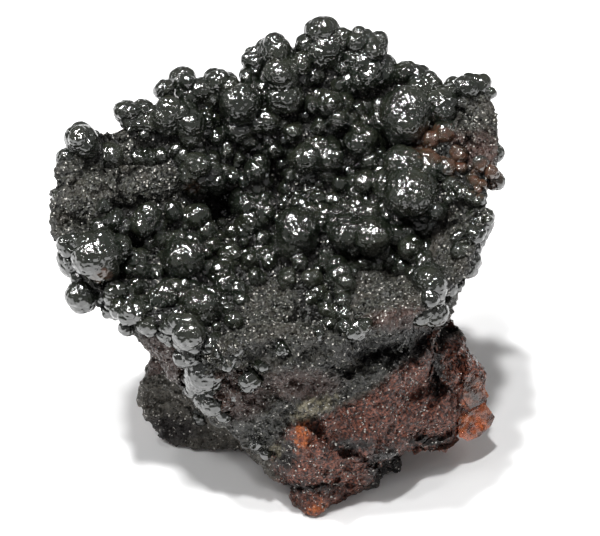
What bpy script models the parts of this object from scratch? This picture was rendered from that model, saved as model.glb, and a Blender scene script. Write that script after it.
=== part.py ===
"""A goethite specimen: a botryoidal crust on ironstone, with orange crystals.

Three pieces grown on one another: the near-black knobbly crust with its bowl-shaped
top, the red-brown matrix that it stands on, and a cluster of orange crystals.
"""

import math
import random

import bmesh
import bpy
from mathutils import Vector, noise
from mathutils.bvhtree import BVHTree

# Driving dimensions, in metres.
OVERALL_WIDTH = 0.080
JOIN_GAP = 0.0003
GRAIN_HEIGHT = 0.0009
LUMP_HEIGHT = 0.0016
LUMP_LENGTH = 0.009
CRUST_VOXEL = 0.00055
MATRIX_VOXEL = 0.0007

# Triangles that each piece may keep.
CRUST_TRIANGLES = 7200
MATRIX_TRIANGLES = 1500

# The sight frame: the viewer looks along +Y and down, from in front of the specimen.
# Seats of knobs and corners of broken faces are given where that viewer sees them,
# in picture pixels across and down.
PICTURE_SPAN = 455
PICTURE_CENTRE = (300, 268)
SIGHT_ELEVATION = math.radians(40)
SIGHT_DISTANCE = 0.400
SIGHT_TARGET = Vector((0.0, 0.0030, 0.0378))
PIXEL = OVERALL_WIDTH / PICTURE_SPAN
MM = OVERALL_WIDTH / 80

SIGHT_WAY = Vector((0, math.cos(SIGHT_ELEVATION), -math.sin(SIGHT_ELEVATION)))
SIGHT_UP = Vector((0, math.sin(SIGHT_ELEVATION), math.cos(SIGHT_ELEVATION)))
SIGHT_RIGHT = Vector((1, 0, 0))
EYE = SIGHT_TARGET - SIGHT_WAY * SIGHT_DISTANCE

# The rim of the crust, seen: pixels across and down, and how far back it lies, in mm.
# The fifteen columns run from the right end, round the back and the left, to the front.
RIM_SEEN = [
    (492, 150, 13), (476, 94, 25), (402, 80, 31), (328, 52, 33), (254, 74, 32),
    (188, 101, 27), (116, 124, 19), (64, 182, 7), (70, 264, -5), (136, 320, -15),
    (230, 338, -20), (317, 337, -21), (399, 322, -19), (460, 282, -9), (490, 218, 2),
]
# The body under the rim at about half height, low down and at the foot, in mm.
WAIST = [
    (27, 8, 32), (25, 17, 31), (15, 24, 30), (4, 26, 30), (-7, 25, 29),
    (-17, 21, 28), (-26, 14, 28), (-31, 4, 31), (-31, -5, 33), (-24, -13, 29),
    (-12, -19, 25), (2, -21, 26), (15, -19, 30), (23, -11, 32), (25, -1, 32),
]
ANKLE = [
    (24, 6, 14), (23, 14, 14), (14, 21, 14), (4, 23, 14), (-6, 22, 14),
    (-15, 19, 14), (-22, 13, 14), (-23, 4, 14), (-20, -3, 15), (-14, -10, 16),
    (-10, -18, 14), (2, -22, 12), (13, -20, 13), (21, -13, 13), (24, -4, 13),
]
FOOT = [
    (21, 4, -2), (20, 12, -2), (12, 18, -2), (3, 20, -2), (-6, 20, -2),
    (-14, 17, -2), (-22, 12, -2), (-18, 5, -2), (-14, 1, -2), (-8, -3, -2),
    (-2, -12, -2), (2.7, -20, -2), (9, -14, -2), (15, -9, -2), (18, -2, -2),
]
BOWL_CENTRE = (-8, 7, 39)

# Broken blocks: corners that are seen (pixels across, down, and mm back) and hidden
# ones (mm). Each block is the solid that the corners span.
LEFT_SHELF = (
    [(66, 141, 14), (75, 160, 12), (56, 180, 10), (49, 200, 7), (50, 220, 3),
     (57, 240, -1), (68, 266, -5), (78, 288, -7), (90, 303, -9), (110, 128, 18),
     (90, 134, 17), (112, 232, 0)],
    [(-35, 15, 38), (-34, 0, 34), (-27, -6, 30)],
)
RIGHT_BLOCK = (
    [(455, 98, 24), (487, 91, 26), (500, 112, 22), (502, 140, 16), (496, 168, 10),
     (470, 165, 11), (455, 130, 18)],
    [(29, 24, 42), (31, 10, 40)],
)
SLAB = (
    [(152, 362, 0.5), (148, 374, 0), (144, 390, -0.5), (142, 402, -0.5), (149, 414, -1),
     (150, 427, -1.5), (156, 441, -2.2), (190, 449, -4.4), (250, 453, -5.6)],
    [(-8, -5, 20), (-8, 8, 20), (-27, 7, 18), (-24, 8, -1), (-8, 8, -1)],
)
RIGHT_CHUNK = (
    [(447, 357, -6), (472, 361, -4), (486, 378, -2.5), (484, 400, -3), (470, 430, -7),
     (458, 440, -9.5), (445, 450, -11), (410, 452, -13.5), (392, 376, -15),
     (408, 360, -12), (422, 349, -9)],
    [(24, 6, 28), (28, 4, 12), (22, 0, 8)],
)
DARK_FOOT = (
    [(403, 454, -9), (399, 470, -10), (377, 485, -13.4), (360, 489, -14.6)],
    [(12, -6, -1), (17, -5, -1), (16, -8, 12), (8, -12, 12)],
)
TIP = (
    [(315, 518, -21.8), (299, 509, -19.6), (290, 501, -17.5), (331, 511, -20),
     (346, 493, -15.5)],
    [(0, -12, -1), (9, -12, -1), (6, -20, 12), (-1, -18, 12)],
)
CRYSTAL_BLOCK = (
    [(470, 408, -5.5), (485, 403, -4.5), (495, 417, -5), (491, 426, -6), (479, 437, -8),
     (468, 441, -9), (459, 437, -9.5), (458, 420, -8)],
    [(28.5, 0, 9), (31.5, 0.5, 11), (27, -2, 15)],
)
CRYSTAL_WEDGE = (
    [(469, 371, -5), (480, 379, -4.5), (489, 396, -5), (482, 404, -6.5), (470, 409, -7.5),
     (463, 398, -7.5), (464, 383, -6.5)],
    [(29, 1, 17), (31.5, 1, 15), (28, -1, 13)],
)

# Dents and swellings: pixels across and down, radius in pixels, and mm pushed away from
# the viewer (a swelling is negative).
DENTS = [
    (250, 232, 44, 5.0), (213, 328, 17, 7.0), (325, 304, 15, 6.0), (258, 285, 16, 4.0),
    (388, 267, 16, 5.0), (395, 350, 14, 6.0), (368, 353, 12, 4.5), (425, 338, 12, 4.0),
    (437, 365, 8, 1.8), (438, 385, 8, 1.8), (308, 487, 8, 1.2), (430, 441, 10, 1.5),
    (437, 412, 22, -1.8), (300, 437, 14, -0.8), (205, 375, 20, -1.2), (380, 300, 28, -1.5),
    (465, 245, 24, -1.0), (140, 185, 26, -1.5), (265, 300, 26, -1.5), (330, 360, 26, -0.8),
]

# Knobs: pixels across and down, and radius in pixels, group by group.
CREST_KNOBS = [
    (325, 40, 22), (330, 48, 21), (322, 33, 16), (334, 34, 16), (312, 42, 12),
    (273, 58, 19), (280, 52, 15), (253, 62, 13), (248, 75, 10), (297, 64, 10),
    (356, 42, 14), (371, 47, 14), (365, 68, 21), (380, 78, 16), (358, 70, 15),
    (341, 67, 6), (280, 80, 14), (285, 94, 13), (250, 83, 10),
]
BACK_WALL_KNOBS = [
    (240, 106, 19), (260, 117, 14), (297, 132, 9), (318, 127, 9), (338, 87, 7),
    (330, 104, 13), (247, 137, 7), (372, 124, 6), (403, 115, 25), (378, 104, 8),
    (405, 72, 12), (418, 76, 11), (428, 83, 11), (415, 92, 14), (440, 107, 16),
    (309, 160, 17), (328, 157, 12), (326, 177, 9), (365, 143, 15), (370, 160, 10),
    (255, 167, 13), (232, 155, 6), (243, 177, 6), (233, 184, 8), (291, 176, 6),
    (340, 185, 9),
]
BACK_LEFT_KNOBS = [
    (165, 91, 9), (183, 83, 12), (190, 96, 11), (199, 87, 10), (212, 92, 11),
    (218, 82, 12), (228, 82, 11), (127, 111, 10), (144, 112, 8), (153, 113, 7),
    (190, 130, 12), (203, 121, 10), (215, 137, 9), (165, 155, 6), (183, 150, 6),
    (197, 163, 13), (214, 178, 11), (190, 172, 10), (83, 140, 16), (128, 160, 17),
    (179, 112, 14),
]
RIGHT_KNOBS = [
    (467, 88, 13), (480, 86, 10), (489, 93, 6), (447, 93, 8), (447, 135, 11),
    (430, 140, 9), (459, 155, 8), (445, 170, 9), (480, 165, 8), (492, 172, 6),
    (497, 180, 10), (450, 185, 7), (463, 192, 6), (478, 200, 6), (405, 165, 20),
    (383, 175, 8), (405, 195, 25), (365, 187, 11), (382, 187, 7), (437, 212, 9),
    (480, 235, 10), (490, 230, 8), (460, 257, 10), (458, 237, 6),
]
FRONT_KNOBS = [
    (367, 213, 13), (368, 237, 16), (388, 243, 12), (385, 212, 8), (410, 250, 13),
    (430, 284, 17), (342, 282, 14), (345, 302, 8), (297, 237, 21), (295, 225, 12),
    (307, 212, 8), (322, 213, 8), (337, 212, 9), (322, 225, 9), (341, 238, 14),
    (247, 212, 9), (263, 212, 12), (250, 200, 9), (288, 277, 8), (311, 279, 9),
    (226, 287, 11), (283, 348, 7),
]
LEFT_KNOBS = [
    (173, 213, 9), (190, 219, 7), (203, 230, 9), (142, 222, 13), (113, 220, 7),
    (120, 225, 10), (70, 243, 10), (97, 255, 22), (98, 250, 17), (105, 268, 12),
    (80, 300, 12), (140, 262, 10), (131, 267, 8), (136, 285, 7), (183, 258, 20),
    (190, 250, 12), (115, 293, 9), (157, 300, 8), (170, 290, 7), (184, 287, 7),
    (132, 313, 11), (147, 325, 7), (197, 310, 16), (188, 335, 12),
]
KNOB_GROUPS = [
    CREST_KNOBS, BACK_WALL_KNOBS, BACK_LEFT_KNOBS, RIGHT_KNOBS, FRONT_KNOBS, LEFT_KNOBS,
]
KNOB_SINK = 0.12

# Small knobs that fill the bowl and the rim between the larger ones: count, radii, and
# the part of the picture that they keep to, with the broken patches that have none
# (middle across and down, half width, half height, in pixels).
FILLER_KNOBS = 150
FILLER_RADII = (0.0009, 0.0019)
FILLER_FIELD = (290, 205, 215, 150)
BROKEN_PATCHES = [
    (77, 200, 30, 40), (142, 185, 38, 20), (479, 130, 24, 34), (460, 240, 30, 36),
    (385, 305, 34, 32), (270, 305, 24, 22),
]

# Knobs on the outer side of the rim, where the viewer can't see: count and radii.
HIDDEN_KNOBS = 46
HIDDEN_KNOB_RADII = (0.0015, 0.0036)

# The join between crust and matrix, from left to right along the front: mm across and mm
# up. Behind that line it rises to the back. Its bumps have a height and a length.
JOIN_LINE = [
    (-45, 5), (-10, 7), (-6, 12), (-2, 21), (4, 24), (8, 26.4), (16, 29.8), (28, 31.5),
    (45, 33),
]
JOIN_FRONT = -0.0205
JOIN_RISE_BACK = 0.40
JOIN_BUMP_HEIGHT = 0.0014
JOIN_BUMP_LENGTH = 0.014
JOIN_REACH = 0.060
JOIN_CELLS = 34

# A plain slope near the join, where skins are trimmed before they are thinned out.
TRIM_HEIGHT = 0.0255
TRIM_RISE_RIGHT = 0.39
TRIM_MARGIN = 0.009


def clear_scene():
    """Start from an empty scene."""
    for thing in list(bpy.data.objects):
        bpy.data.objects.remove(thing, do_unlink=True)


def sight_line(across_px, down_px):
    """Direction in which the viewer sees a picture position."""
    across = (across_px - PICTURE_CENTRE[0]) * PIXEL
    up = (PICTURE_CENTRE[1] - down_px) * PIXEL
    point = SIGHT_TARGET + SIGHT_RIGHT * across + SIGHT_UP * up
    return (point - EYE).normalized()


def seen_at(across_px, down_px, back_mm):
    """The point on a sight line that lies so far back along Y."""
    way = sight_line(across_px, down_px)
    return EYE + way * ((back_mm * MM - EYE.y) / way.y)


def picture_position(point):
    """Picture position, in pixels, of a point of the specimen."""
    offset = point - EYE
    scale = SIGHT_DISTANCE / offset.dot(SIGHT_WAY) / PIXEL
    across = PICTURE_CENTRE[0] + offset.dot(SIGHT_RIGHT) * scale
    down = PICTURE_CENTRE[1] - offset.dot(SIGHT_UP) * scale
    return across, down


def in_metres(points_mm):
    """Points given in millimetres, as vectors in metres."""
    return [Vector(point) * MM for point in points_mm]


def rock_rings():
    """Rings of the rock body from the foot, over the rim, to the middle of the bowl."""
    rim = [seen_at(*corner) for corner in RIM_SEEN]
    centre = Vector(BOWL_CENTRE) * MM
    lip = [corner.lerp(centre, 0.10) + Vector((0, 0, -0.3 * MM)) for corner in rim]
    slope = [corner.lerp(centre, 0.50) + Vector((0, 0, -3.0 * MM)) for corner in rim]
    floor = [corner.lerp(centre, 0.82) + Vector((0, 0, -1.0 * MM)) for corner in rim]
    return [in_metres(FOOT), in_metres(ANKLE), in_metres(WAIST), rim, lip, slope, floor]


def rock_body():
    """The rock as one closed cage of quads, divided fine enough for its relief."""
    mesh = bmesh.new()
    rings = [[mesh.verts.new(point) for point in ring] for ring in rock_rings()]
    count = len(rings[0])
    for lower, upper in zip(rings, rings[1:]):
        for i in range(count):
            j = (i + 1) % count
            mesh.faces.new((lower[i], lower[j], upper[j], upper[i]))
    for ring in (rings[0], rings[-1]):
        middle = mesh.verts.new(sum((v.co for v in ring), Vector()) / count)
        for i in range(count):
            mesh.faces.new((ring[i], ring[(i + 1) % count], middle))
    bmesh.ops.recalc_face_normals(mesh, faces=mesh.faces)
    for _ in range(3):
        bmesh.ops.subdivide_edges(mesh, edges=mesh.edges, cuts=1, use_grid_fill=True)
    bmesh.ops.smooth_vert(mesh, verts=mesh.verts, factor=0.5,
                          use_axis_x=True, use_axis_y=True, use_axis_z=True)
    return mesh


def spanned_block(corners):
    """A broken block: the convex solid that its seen and hidden corners span."""
    seen, hidden = corners
    mesh = bmesh.new()
    for point in [seen_at(*corner) for corner in seen] + in_metres(hidden):
        mesh.verts.new(point)
    hull = bmesh.ops.convex_hull(mesh, input=mesh.verts)
    spare = [item for item in hull["geom_interior"] if isinstance(item, bmesh.types.BMVert)]
    bmesh.ops.delete(mesh, geom=spare, context="VERTS")
    bmesh.ops.recalc_face_normals(mesh, faces=mesh.faces)
    return mesh


def divided(mesh, longest):
    """Divide a block's long edges, so that its faces can carry relief."""
    for _ in range(6):
        long_edges = [edge for edge in mesh.edges if edge.calc_length() > longest]
        if not long_edges:
            break
        bmesh.ops.subdivide_edges(mesh, edges=long_edges, cuts=1)
        bmesh.ops.triangulate(mesh, faces=mesh.faces)
    return mesh


def dent_push(point):
    """How far the dents and swellings push a seen point away from the viewer."""
    across, down = picture_position(point)
    push = 0.0
    for dent_across, dent_down, radius, depth in DENTS:
        reach = math.hypot(across - dent_across, down - dent_down) / radius
        if reach < 2.2:
            push += depth * MM * math.exp(-reach * reach)
    return push


def add_relief(mesh, lump_height, grain_height):
    """Lumps and grains all over, and the dents on the side that is seen."""
    mesh.normal_update()
    moves = []
    for vert in mesh.verts:
        lump = noise.fractal(vert.co / LUMP_LENGTH, 0.9, 2.1, 3)
        grain = noise.fractal(vert.co / (LUMP_LENGTH * 0.3) + Vector((7, 3, 5)), 0.8, 2.0, 2)
        move = vert.normal * (lump_height * lump + grain_height * grain)
        facing = max(0.0, -vert.normal.dot(SIGHT_WAY))
        if facing > 0.0:
            way = (vert.co - EYE).normalized()
            move += way * dent_push(vert.co) * min(1.0, facing * 2.5)
        moves.append(move)
    for vert, move in zip(mesh.verts, moves):
        vert.co += move


def merged(parts):
    """One mesh that holds several closed ones."""
    whole = bmesh.new()
    for part in parts:
        held = bpy.data.meshes.new("held")
        part.to_mesh(held)
        whole.from_mesh(held)
        bpy.data.meshes.remove(held)
    return whole


def knob_seat(tree, across_px, down_px, radius):
    """Centre of a knob on its sight line, and a point of the rock that carries it."""
    way = sight_line(across_px, down_px)
    hit, _, _, _ = tree.ray_cast(EYE, way)
    if hit is not None:
        return hit + way * radius * KNOB_SINK, hit
    steps = [EYE + way * SIGHT_DISTANCE * (0.88 + 0.24 * i / 80) for i in range(81)]
    centre = min(steps, key=lambda point: tree.find_nearest(point)[3])
    return centre, tree.find_nearest(centre)[0]


def add_knob(mesh, tree, across_px, down_px, radius):
    """A knob, with a smaller one under it where it hangs clear of the rock."""
    centre, root = knob_seat(tree, across_px, down_px, radius)
    fineness = 3 if radius > 0.0015 else 2
    add_ball(mesh, centre, radius, fineness)
    if (root - centre).length > radius * 0.8:
        add_ball(mesh, centre.lerp(root, 0.6), radius * 0.85, fineness)


def add_ball(mesh, centre, radius, fineness):
    """A knob's sphere in a mesh."""
    made = bmesh.ops.create_icosphere(mesh, subdivisions=fineness, radius=radius)
    bmesh.ops.translate(mesh, verts=made["verts"], vec=centre)


def seen_knobs(tree):
    """Every knob that the viewer sees."""
    mesh = bmesh.new()
    for group in KNOB_GROUPS:
        for across_px, down_px, radius_px in group:
            add_knob(mesh, tree, across_px, down_px, radius_px * PIXEL)
    return mesh


def in_broken_patch(across_px, down_px):
    """Whether a picture position lies on a broken patch, which has no knobs."""
    for middle_across, middle_down, half_width, half_height in BROKEN_PATCHES:
        x = (across_px - middle_across) / half_width
        y = (down_px - middle_down) / half_height
        if x * x + y * y < 1:
            return True
    return False


def filler_knobs(tree):
    """Small knobs scattered over the bowl and the rim, clear of the broken patches."""
    chance = random.Random(7)
    mesh = bmesh.new()
    middle_across, middle_down, half_width, half_height = FILLER_FIELD
    made = 0
    while made < FILLER_KNOBS:
        turn = chance.uniform(0, 2 * math.pi)
        reach = math.sqrt(chance.random())
        across = middle_across + half_width * reach * math.cos(turn)
        down = middle_down + half_height * reach * math.sin(turn)
        radius = chance.uniform(*FILLER_RADII)
        hit, normal, _, _ = tree.ray_cast(EYE, sight_line(across, down))
        made += 1
        if hit is None or normal.z < 0.2 or in_broken_patch(across, down):
            continue
        add_ball(mesh, hit, radius, 2)
    return mesh


def hidden_knobs(rock):
    """Knobs scattered on the outer side of the rim, from the top down to the join."""
    chance = random.Random(41)
    outer = []
    for vert in rock.verts:
        away = vert.normal.dot(SIGHT_WAY) > 0.15 and vert.normal.z > -0.45
        if away and vert.co.z > join_height(vert.co) + 0.004 and vert.co.z > 0.040:
            outer.append(vert.co.copy())
    mesh = bmesh.new()
    for _ in range(HIDDEN_KNOBS):
        centre = chance.choice(outer)
        add_ball(mesh, centre, chance.uniform(*HIDDEN_KNOB_RADII), 3)
    return mesh


def join_height(point):
    """Height of the join between crust and matrix under a point."""
    across = point.x / MM
    level = JOIN_LINE[0][1]
    for (start, low), (end, high) in zip(JOIN_LINE, JOIN_LINE[1:]):
        if across > start:
            level = low + (high - low) * min(1.0, (across - start) / (end - start))
    bump = noise.fractal(Vector((point.x, point.y, 0)) / JOIN_BUMP_LENGTH, 0.8, 2.0, 2)
    rise = JOIN_RISE_BACK * (point.y - JOIN_FRONT)
    return level * MM + rise + JOIN_BUMP_HEIGHT * bump


def side_of_join(name, offset, far_height):
    """Everything on one side of the join, as a solid to cut with."""
    mesh = bmesh.new()
    step = 2 * JOIN_REACH / JOIN_CELLS
    rows = []
    for i in range(JOIN_CELLS + 1):
        row = []
        for j in range(JOIN_CELLS + 1):
            point = Vector((-JOIN_REACH + i * step, -JOIN_REACH + j * step, 0))
            point.z = join_height(point) + offset
            row.append(mesh.verts.new(point))
        rows.append(row)
    for i in range(JOIN_CELLS):
        for j in range(JOIN_CELLS):
            mesh.faces.new((rows[i][j], rows[i + 1][j], rows[i + 1][j + 1], rows[i][j + 1]))
    lifted = bmesh.ops.extrude_face_region(mesh, geom=mesh.faces[:])
    for item in lifted["geom"]:
        if isinstance(item, bmesh.types.BMVert):
            item.co.z = far_height
    bmesh.ops.recalc_face_normals(mesh, faces=mesh.faces)
    return cutter(name, mesh)


def cutter(name, mesh):
    """A guide object that only cuts."""
    thing = new_object(name, mesh)
    thing.hide_render = True
    thing.display_type = "WIRE"
    return thing


def new_object(name, mesh):
    """An object in the scene with the given mesh."""
    data = bpy.data.meshes.new(name)
    mesh.to_mesh(data)
    mesh.free()
    thing = bpy.data.objects.new(name, data)
    bpy.context.scene.collection.objects.link(thing)
    return thing


def applied(thing):
    """Fix an object's modifiers into its mesh."""
    bpy.context.view_layer.update()
    shaped = thing.evaluated_get(bpy.context.evaluated_depsgraph_get())
    data = bpy.data.meshes.new_from_object(shaped)
    thing.modifiers.clear()
    thing.data = data


def remesh(thing, voxel):
    """Grow an object's overlapping solids together into one skin."""
    skin = thing.modifiers.new("skin", "REMESH")
    skin.mode = "VOXEL"
    skin.voxel_size = voxel
    applied(thing)


def thin_out(thing, triangles):
    """Keep only as many triangles as the shape needs."""
    thing.data.calc_loop_triangles()
    thin = thing.modifiers.new("thin", "DECIMATE")
    thin.ratio = triangles / len(thing.data.loop_triangles)
    applied(thing)


def cut(thing, tool, operation):
    """Cut an object with another, or keep what they share."""
    step = thing.modifiers.new("cut", "BOOLEAN")
    step.operation = operation
    step.solver = "EXACT"
    step.object = tool
    applied(thing)


def keep_largest(thing):
    """Drop loose crumbs and sealed bubbles, and leave one closed body of triangles."""
    mesh = bmesh.new()
    mesh.from_mesh(thing.data)
    bmesh.ops.dissolve_degenerate(mesh, edges=mesh.edges, dist=0.00002)
    bmesh.ops.triangulate(mesh, faces=mesh.faces)
    left = set(mesh.verts)
    bodies = []
    while left:
        body = {left.pop()}
        edge_of_body = list(body)
        while edge_of_body:
            vert = edge_of_body.pop()
            for edge in vert.link_edges:
                other = edge.other_vert(vert)
                if other in left:
                    left.remove(other)
                    body.add(other)
                    edge_of_body.append(other)
        bodies.append(body)
    bodies.sort(key=len)
    spare = [vert for body in bodies[:-1] for vert in body]
    bmesh.ops.delete(mesh, geom=spare, context="VERTS")
    mesh.to_mesh(thing.data)
    mesh.free()


def principled(name, colour, roughness, metallic, **extra):
    """A material from its colour, roughness and metallic value."""
    material = bpy.data.materials.new(name)
    material.use_nodes = True
    shader = material.node_tree.nodes["Principled BSDF"]
    shader.inputs["Base Color"].default_value = (*colour, 1.0)
    shader.inputs["Roughness"].default_value = roughness
    shader.inputs["Metallic"].default_value = metallic
    for socket, value in extra.items():
        shader.inputs[socket.replace("_", " ")].default_value = value
    return material


def goethite_material():
    """Near-black, with a glossy skin."""
    return principled("goethite", (0.030, 0.030, 0.027), 0.25, 0.0)


def ironstone_material():
    """Red-brown and dull."""
    return principled("ironstone", (0.105, 0.050, 0.038), 0.75, 0.0)


def orange_material():
    """Clear orange."""
    return principled("orange_crystal", (0.62, 0.20, 0.06), 0.15, 0.0,
                      Transmission_Weight=0.6, IOR=1.5)


def specimen_rock():
    """The rock body and its knobs and blocks, each list ready to be grown together."""
    body = rock_body()
    add_relief(body, LUMP_HEIGHT, GRAIN_HEIGHT)
    body.normal_update()
    blocks = []
    for corners in (LEFT_SHELF, RIGHT_BLOCK, SLAB, RIGHT_CHUNK, DARK_FOOT, TIP):
        block = divided(spanned_block(corners), 0.0032)
        add_relief(block, LUMP_HEIGHT * 0.5, GRAIN_HEIGHT)
        blocks.append(block)
    return body, blocks


def build_crust(body, blocks, above):
    """The botryoidal crust, cut off at the join."""
    rock = merged([body] + blocks)
    tree = BVHTree.FromBMesh(rock)
    knobs = [seen_knobs(tree), filler_knobs(tree), hidden_knobs(body)]
    crust = new_object("goethite_crust", merged([rock] + knobs))
    remesh(crust, CRUST_VOXEL)
    cut_roughly(crust, -TRIM_MARGIN, keep_above=True)
    thin_out(crust, CRUST_TRIANGLES)
    cut(crust, above, "INTERSECT")
    keep_largest(crust)
    crust.data.materials.clear()
    crust.data.materials.append(goethite_material())
    return crust


def cut_roughly(thing, offset, keep_above):
    """Drop the side of a skin that the join will cut away, and close the hole flat."""
    mesh = bmesh.new()
    mesh.from_mesh(thing.data)
    normal = Vector((-TRIM_RISE_RIGHT, -JOIN_RISE_BACK, 1)).normalized()
    point = Vector((0, 0, TRIM_HEIGHT + offset))
    halves = bmesh.ops.bisect_plane(
        mesh, geom=mesh.verts[:] + mesh.edges[:] + mesh.faces[:], dist=1e-7,
        plane_co=point, plane_no=normal, clear_inner=keep_above, clear_outer=not keep_above)
    border = [item for item in halves["geom_cut"] if isinstance(item, bmesh.types.BMEdge)]
    bmesh.ops.holes_fill(mesh, edges=border)
    bmesh.ops.triangulate(mesh, faces=mesh.faces)
    bmesh.ops.recalc_face_normals(mesh, faces=mesh.faces)
    mesh.to_mesh(thing.data)
    mesh.free()


def build_matrix(body, blocks, below, pocket):
    """The ironstone under the crust, with its flat foot and the crystals' pocket."""
    matrix = new_object("ironstone_matrix", merged([body] + blocks))
    remesh(matrix, MATRIX_VOXEL)
    cut_roughly(matrix, TRIM_MARGIN, keep_above=False)
    thin_out(matrix, MATRIX_TRIANGLES)
    cut(matrix, below, "INTERSECT")
    cut(matrix, floor_box(), "DIFFERENCE")
    cut(matrix, pocket, "DIFFERENCE")
    keep_largest(matrix)
    matrix.data.materials.clear()
    matrix.data.materials.append(ironstone_material())
    return matrix


def floor_box():
    """Everything below the level that the specimen rests on."""
    mesh = bmesh.new()
    bmesh.ops.create_cube(mesh, size=0.2)
    bmesh.ops.translate(mesh, verts=mesh.verts, vec=(0, 0, -0.1))
    return cutter("floor_cut", mesh)


def crystal_mesh(growth):
    """The crystal block with its wedge, grown outward by the given distance."""
    parts = []
    for corners in (CRYSTAL_BLOCK, CRYSTAL_WEDGE):
        mesh = spanned_block(corners)
        centre = sum((vert.co for vert in mesh.verts), Vector()) / len(mesh.verts)
        for vert in mesh.verts:
            vert.co += (vert.co - centre).normalized() * growth * 1.6
        parts.append(mesh)
    return parts


def grown_together(name, parts):
    """Two crossing solids joined into one."""
    whole = new_object(name, parts[0])
    other = cutter(name + "_other", parts[1])
    cut(whole, other, "UNION")
    return whole


def build_crystals():
    """The orange crystals, grown together."""
    crystals = grown_together("orange_crystals", crystal_mesh(0.0))
    keep_largest(crystals)
    crystals.data.materials.clear()
    crystals.data.materials.append(orange_material())
    return crystals


def stand_on_origin(pieces):
    """Move the whole so that the origin is the middle of its box, at the bottom."""
    points = [vert.co for piece in pieces for vert in piece.data.vertices]
    low = Vector([min(point[axis] for point in points) for axis in range(3)])
    high = Vector([max(point[axis] for point in points) for axis in range(3)])
    shift = Vector((-(low.x + high.x) / 2, -(low.y + high.y) / 2, -low.z))
    for piece in pieces:
        for vert in piece.data.vertices:
            vert.co += shift


def main():
    """Build the specimen."""
    clear_scene()
    body, blocks = specimen_rock()
    above = side_of_join("above_join", JOIN_GAP / 2, 0.12)
    below = side_of_join("below_join", -JOIN_GAP / 2, -0.12)
    crystals = build_crystals()
    pocket = grown_together("crystal_pocket", crystal_mesh(JOIN_GAP))
    pocket.hide_render = True
    pocket.display_type = "WIRE"
    crust = build_crust(body, blocks, above)
    matrix = build_matrix(body, blocks, below, pocket)
    stand_on_origin([crust, matrix, crystals])


main()
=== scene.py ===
# %% [markdown]
# # A goethite specimen
# The specimen is one lump of rock. On top grows a bowl-shaped crust of goethite, an iron
# mineral that sets in smooth, near-black knobs like bunches of grapes. Under it is the
# red-brown ironstone that it grew on, and at the right end sit a few orange crystals.
# The plan is to build the rough rock first, skin it, seat every knob on it, and then give
# each kind of surface its own finish.

# %% Load the frame
import math
import random

import bmesh
import bpy
import numpy as np
from mathutils import Matrix, Vector, noise
from mathutils.bvhtree import BVHTree


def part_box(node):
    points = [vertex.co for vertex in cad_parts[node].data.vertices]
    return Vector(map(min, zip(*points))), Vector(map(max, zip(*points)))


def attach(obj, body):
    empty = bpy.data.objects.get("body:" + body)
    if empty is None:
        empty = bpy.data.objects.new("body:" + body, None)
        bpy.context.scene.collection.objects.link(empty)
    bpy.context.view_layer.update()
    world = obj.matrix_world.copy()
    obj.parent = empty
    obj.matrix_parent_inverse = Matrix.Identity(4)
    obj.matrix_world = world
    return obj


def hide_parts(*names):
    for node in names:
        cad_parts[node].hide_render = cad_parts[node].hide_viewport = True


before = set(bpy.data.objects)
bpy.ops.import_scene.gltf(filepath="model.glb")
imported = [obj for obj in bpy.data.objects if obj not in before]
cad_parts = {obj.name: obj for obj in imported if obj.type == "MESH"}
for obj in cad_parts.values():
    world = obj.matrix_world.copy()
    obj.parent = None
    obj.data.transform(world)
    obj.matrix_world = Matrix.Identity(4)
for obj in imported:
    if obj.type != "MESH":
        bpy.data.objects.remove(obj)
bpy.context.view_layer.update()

print("nodes:", sorted(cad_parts))

# %% [markdown]
# ## Where things are seen
# A grown shape has no drawing with dimensions. What we have is one view of it, from about
# 40 degrees above. So knobs and corners are written down where that view shows them, in
# picture pixels, and a sight line turns such a position into a real point once we say how
# far back it lies, or what the line hits. The width of 80 mm sets the scale.

# %% The sight frame
OVERALL_WIDTH = 0.080
PICTURE_SPAN = 455
PICTURE_CENTRE = (300, 268)
PICTURE_WIDTH = 600
SIGHT_ELEVATION = math.radians(40)
SIGHT_DISTANCE = 0.400
SIGHT_TARGET = Vector((0.0, 0.0030, 0.0378))
PIXEL = OVERALL_WIDTH / PICTURE_SPAN
MM = OVERALL_WIDTH / 80

SIGHT_WAY = Vector((0, math.cos(SIGHT_ELEVATION), -math.sin(SIGHT_ELEVATION)))
SIGHT_UP = Vector((0, math.sin(SIGHT_ELEVATION), math.cos(SIGHT_ELEVATION)))
SIGHT_RIGHT = Vector((1, 0, 0))
EYE = SIGHT_TARGET - SIGHT_WAY * SIGHT_DISTANCE


def sight_line(across_px, down_px):
    """Direction in which a picture position is seen."""
    across = (across_px - PICTURE_CENTRE[0]) * PIXEL
    up = (PICTURE_CENTRE[1] - down_px) * PIXEL
    return (SIGHT_TARGET + SIGHT_RIGHT * across + SIGHT_UP * up - EYE).normalized()


def seen_at(across_px, down_px, back_mm):
    """The point on a sight line that lies so far back along Y."""
    way = sight_line(across_px, down_px)
    return EYE + way * ((back_mm * MM - EYE.y) / way.y)


def picture_positions(points):
    """Picture positions, in pixels, of many points at once."""
    offset = np.asarray(points, dtype=np.float64) - np.array(EYE)
    scale = SIGHT_DISTANCE / (offset @ np.array(SIGHT_WAY)) / PIXEL
    across = PICTURE_CENTRE[0] + (offset @ np.array(SIGHT_RIGHT)) * scale
    down = PICTURE_CENTRE[1] - (offset @ np.array(SIGHT_UP)) * scale
    return across, down


def in_metres(points_mm):
    """Points given in millimetres, as vectors in metres."""
    return [Vector(point) * MM for point in points_mm]


print("one pixel is", round(PIXEL * 1000, 3), "mm")

# %% [markdown]
# ## The rough rock
# The body is a ring of fifteen columns: foot, ankle, waist and rim. Inside the rim the
# rings go on, down into the bowl. A loft like this gives a closed mesh whose every ring
# can be moved by eye, which is easier to steer than sculpting from a ball.

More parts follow.
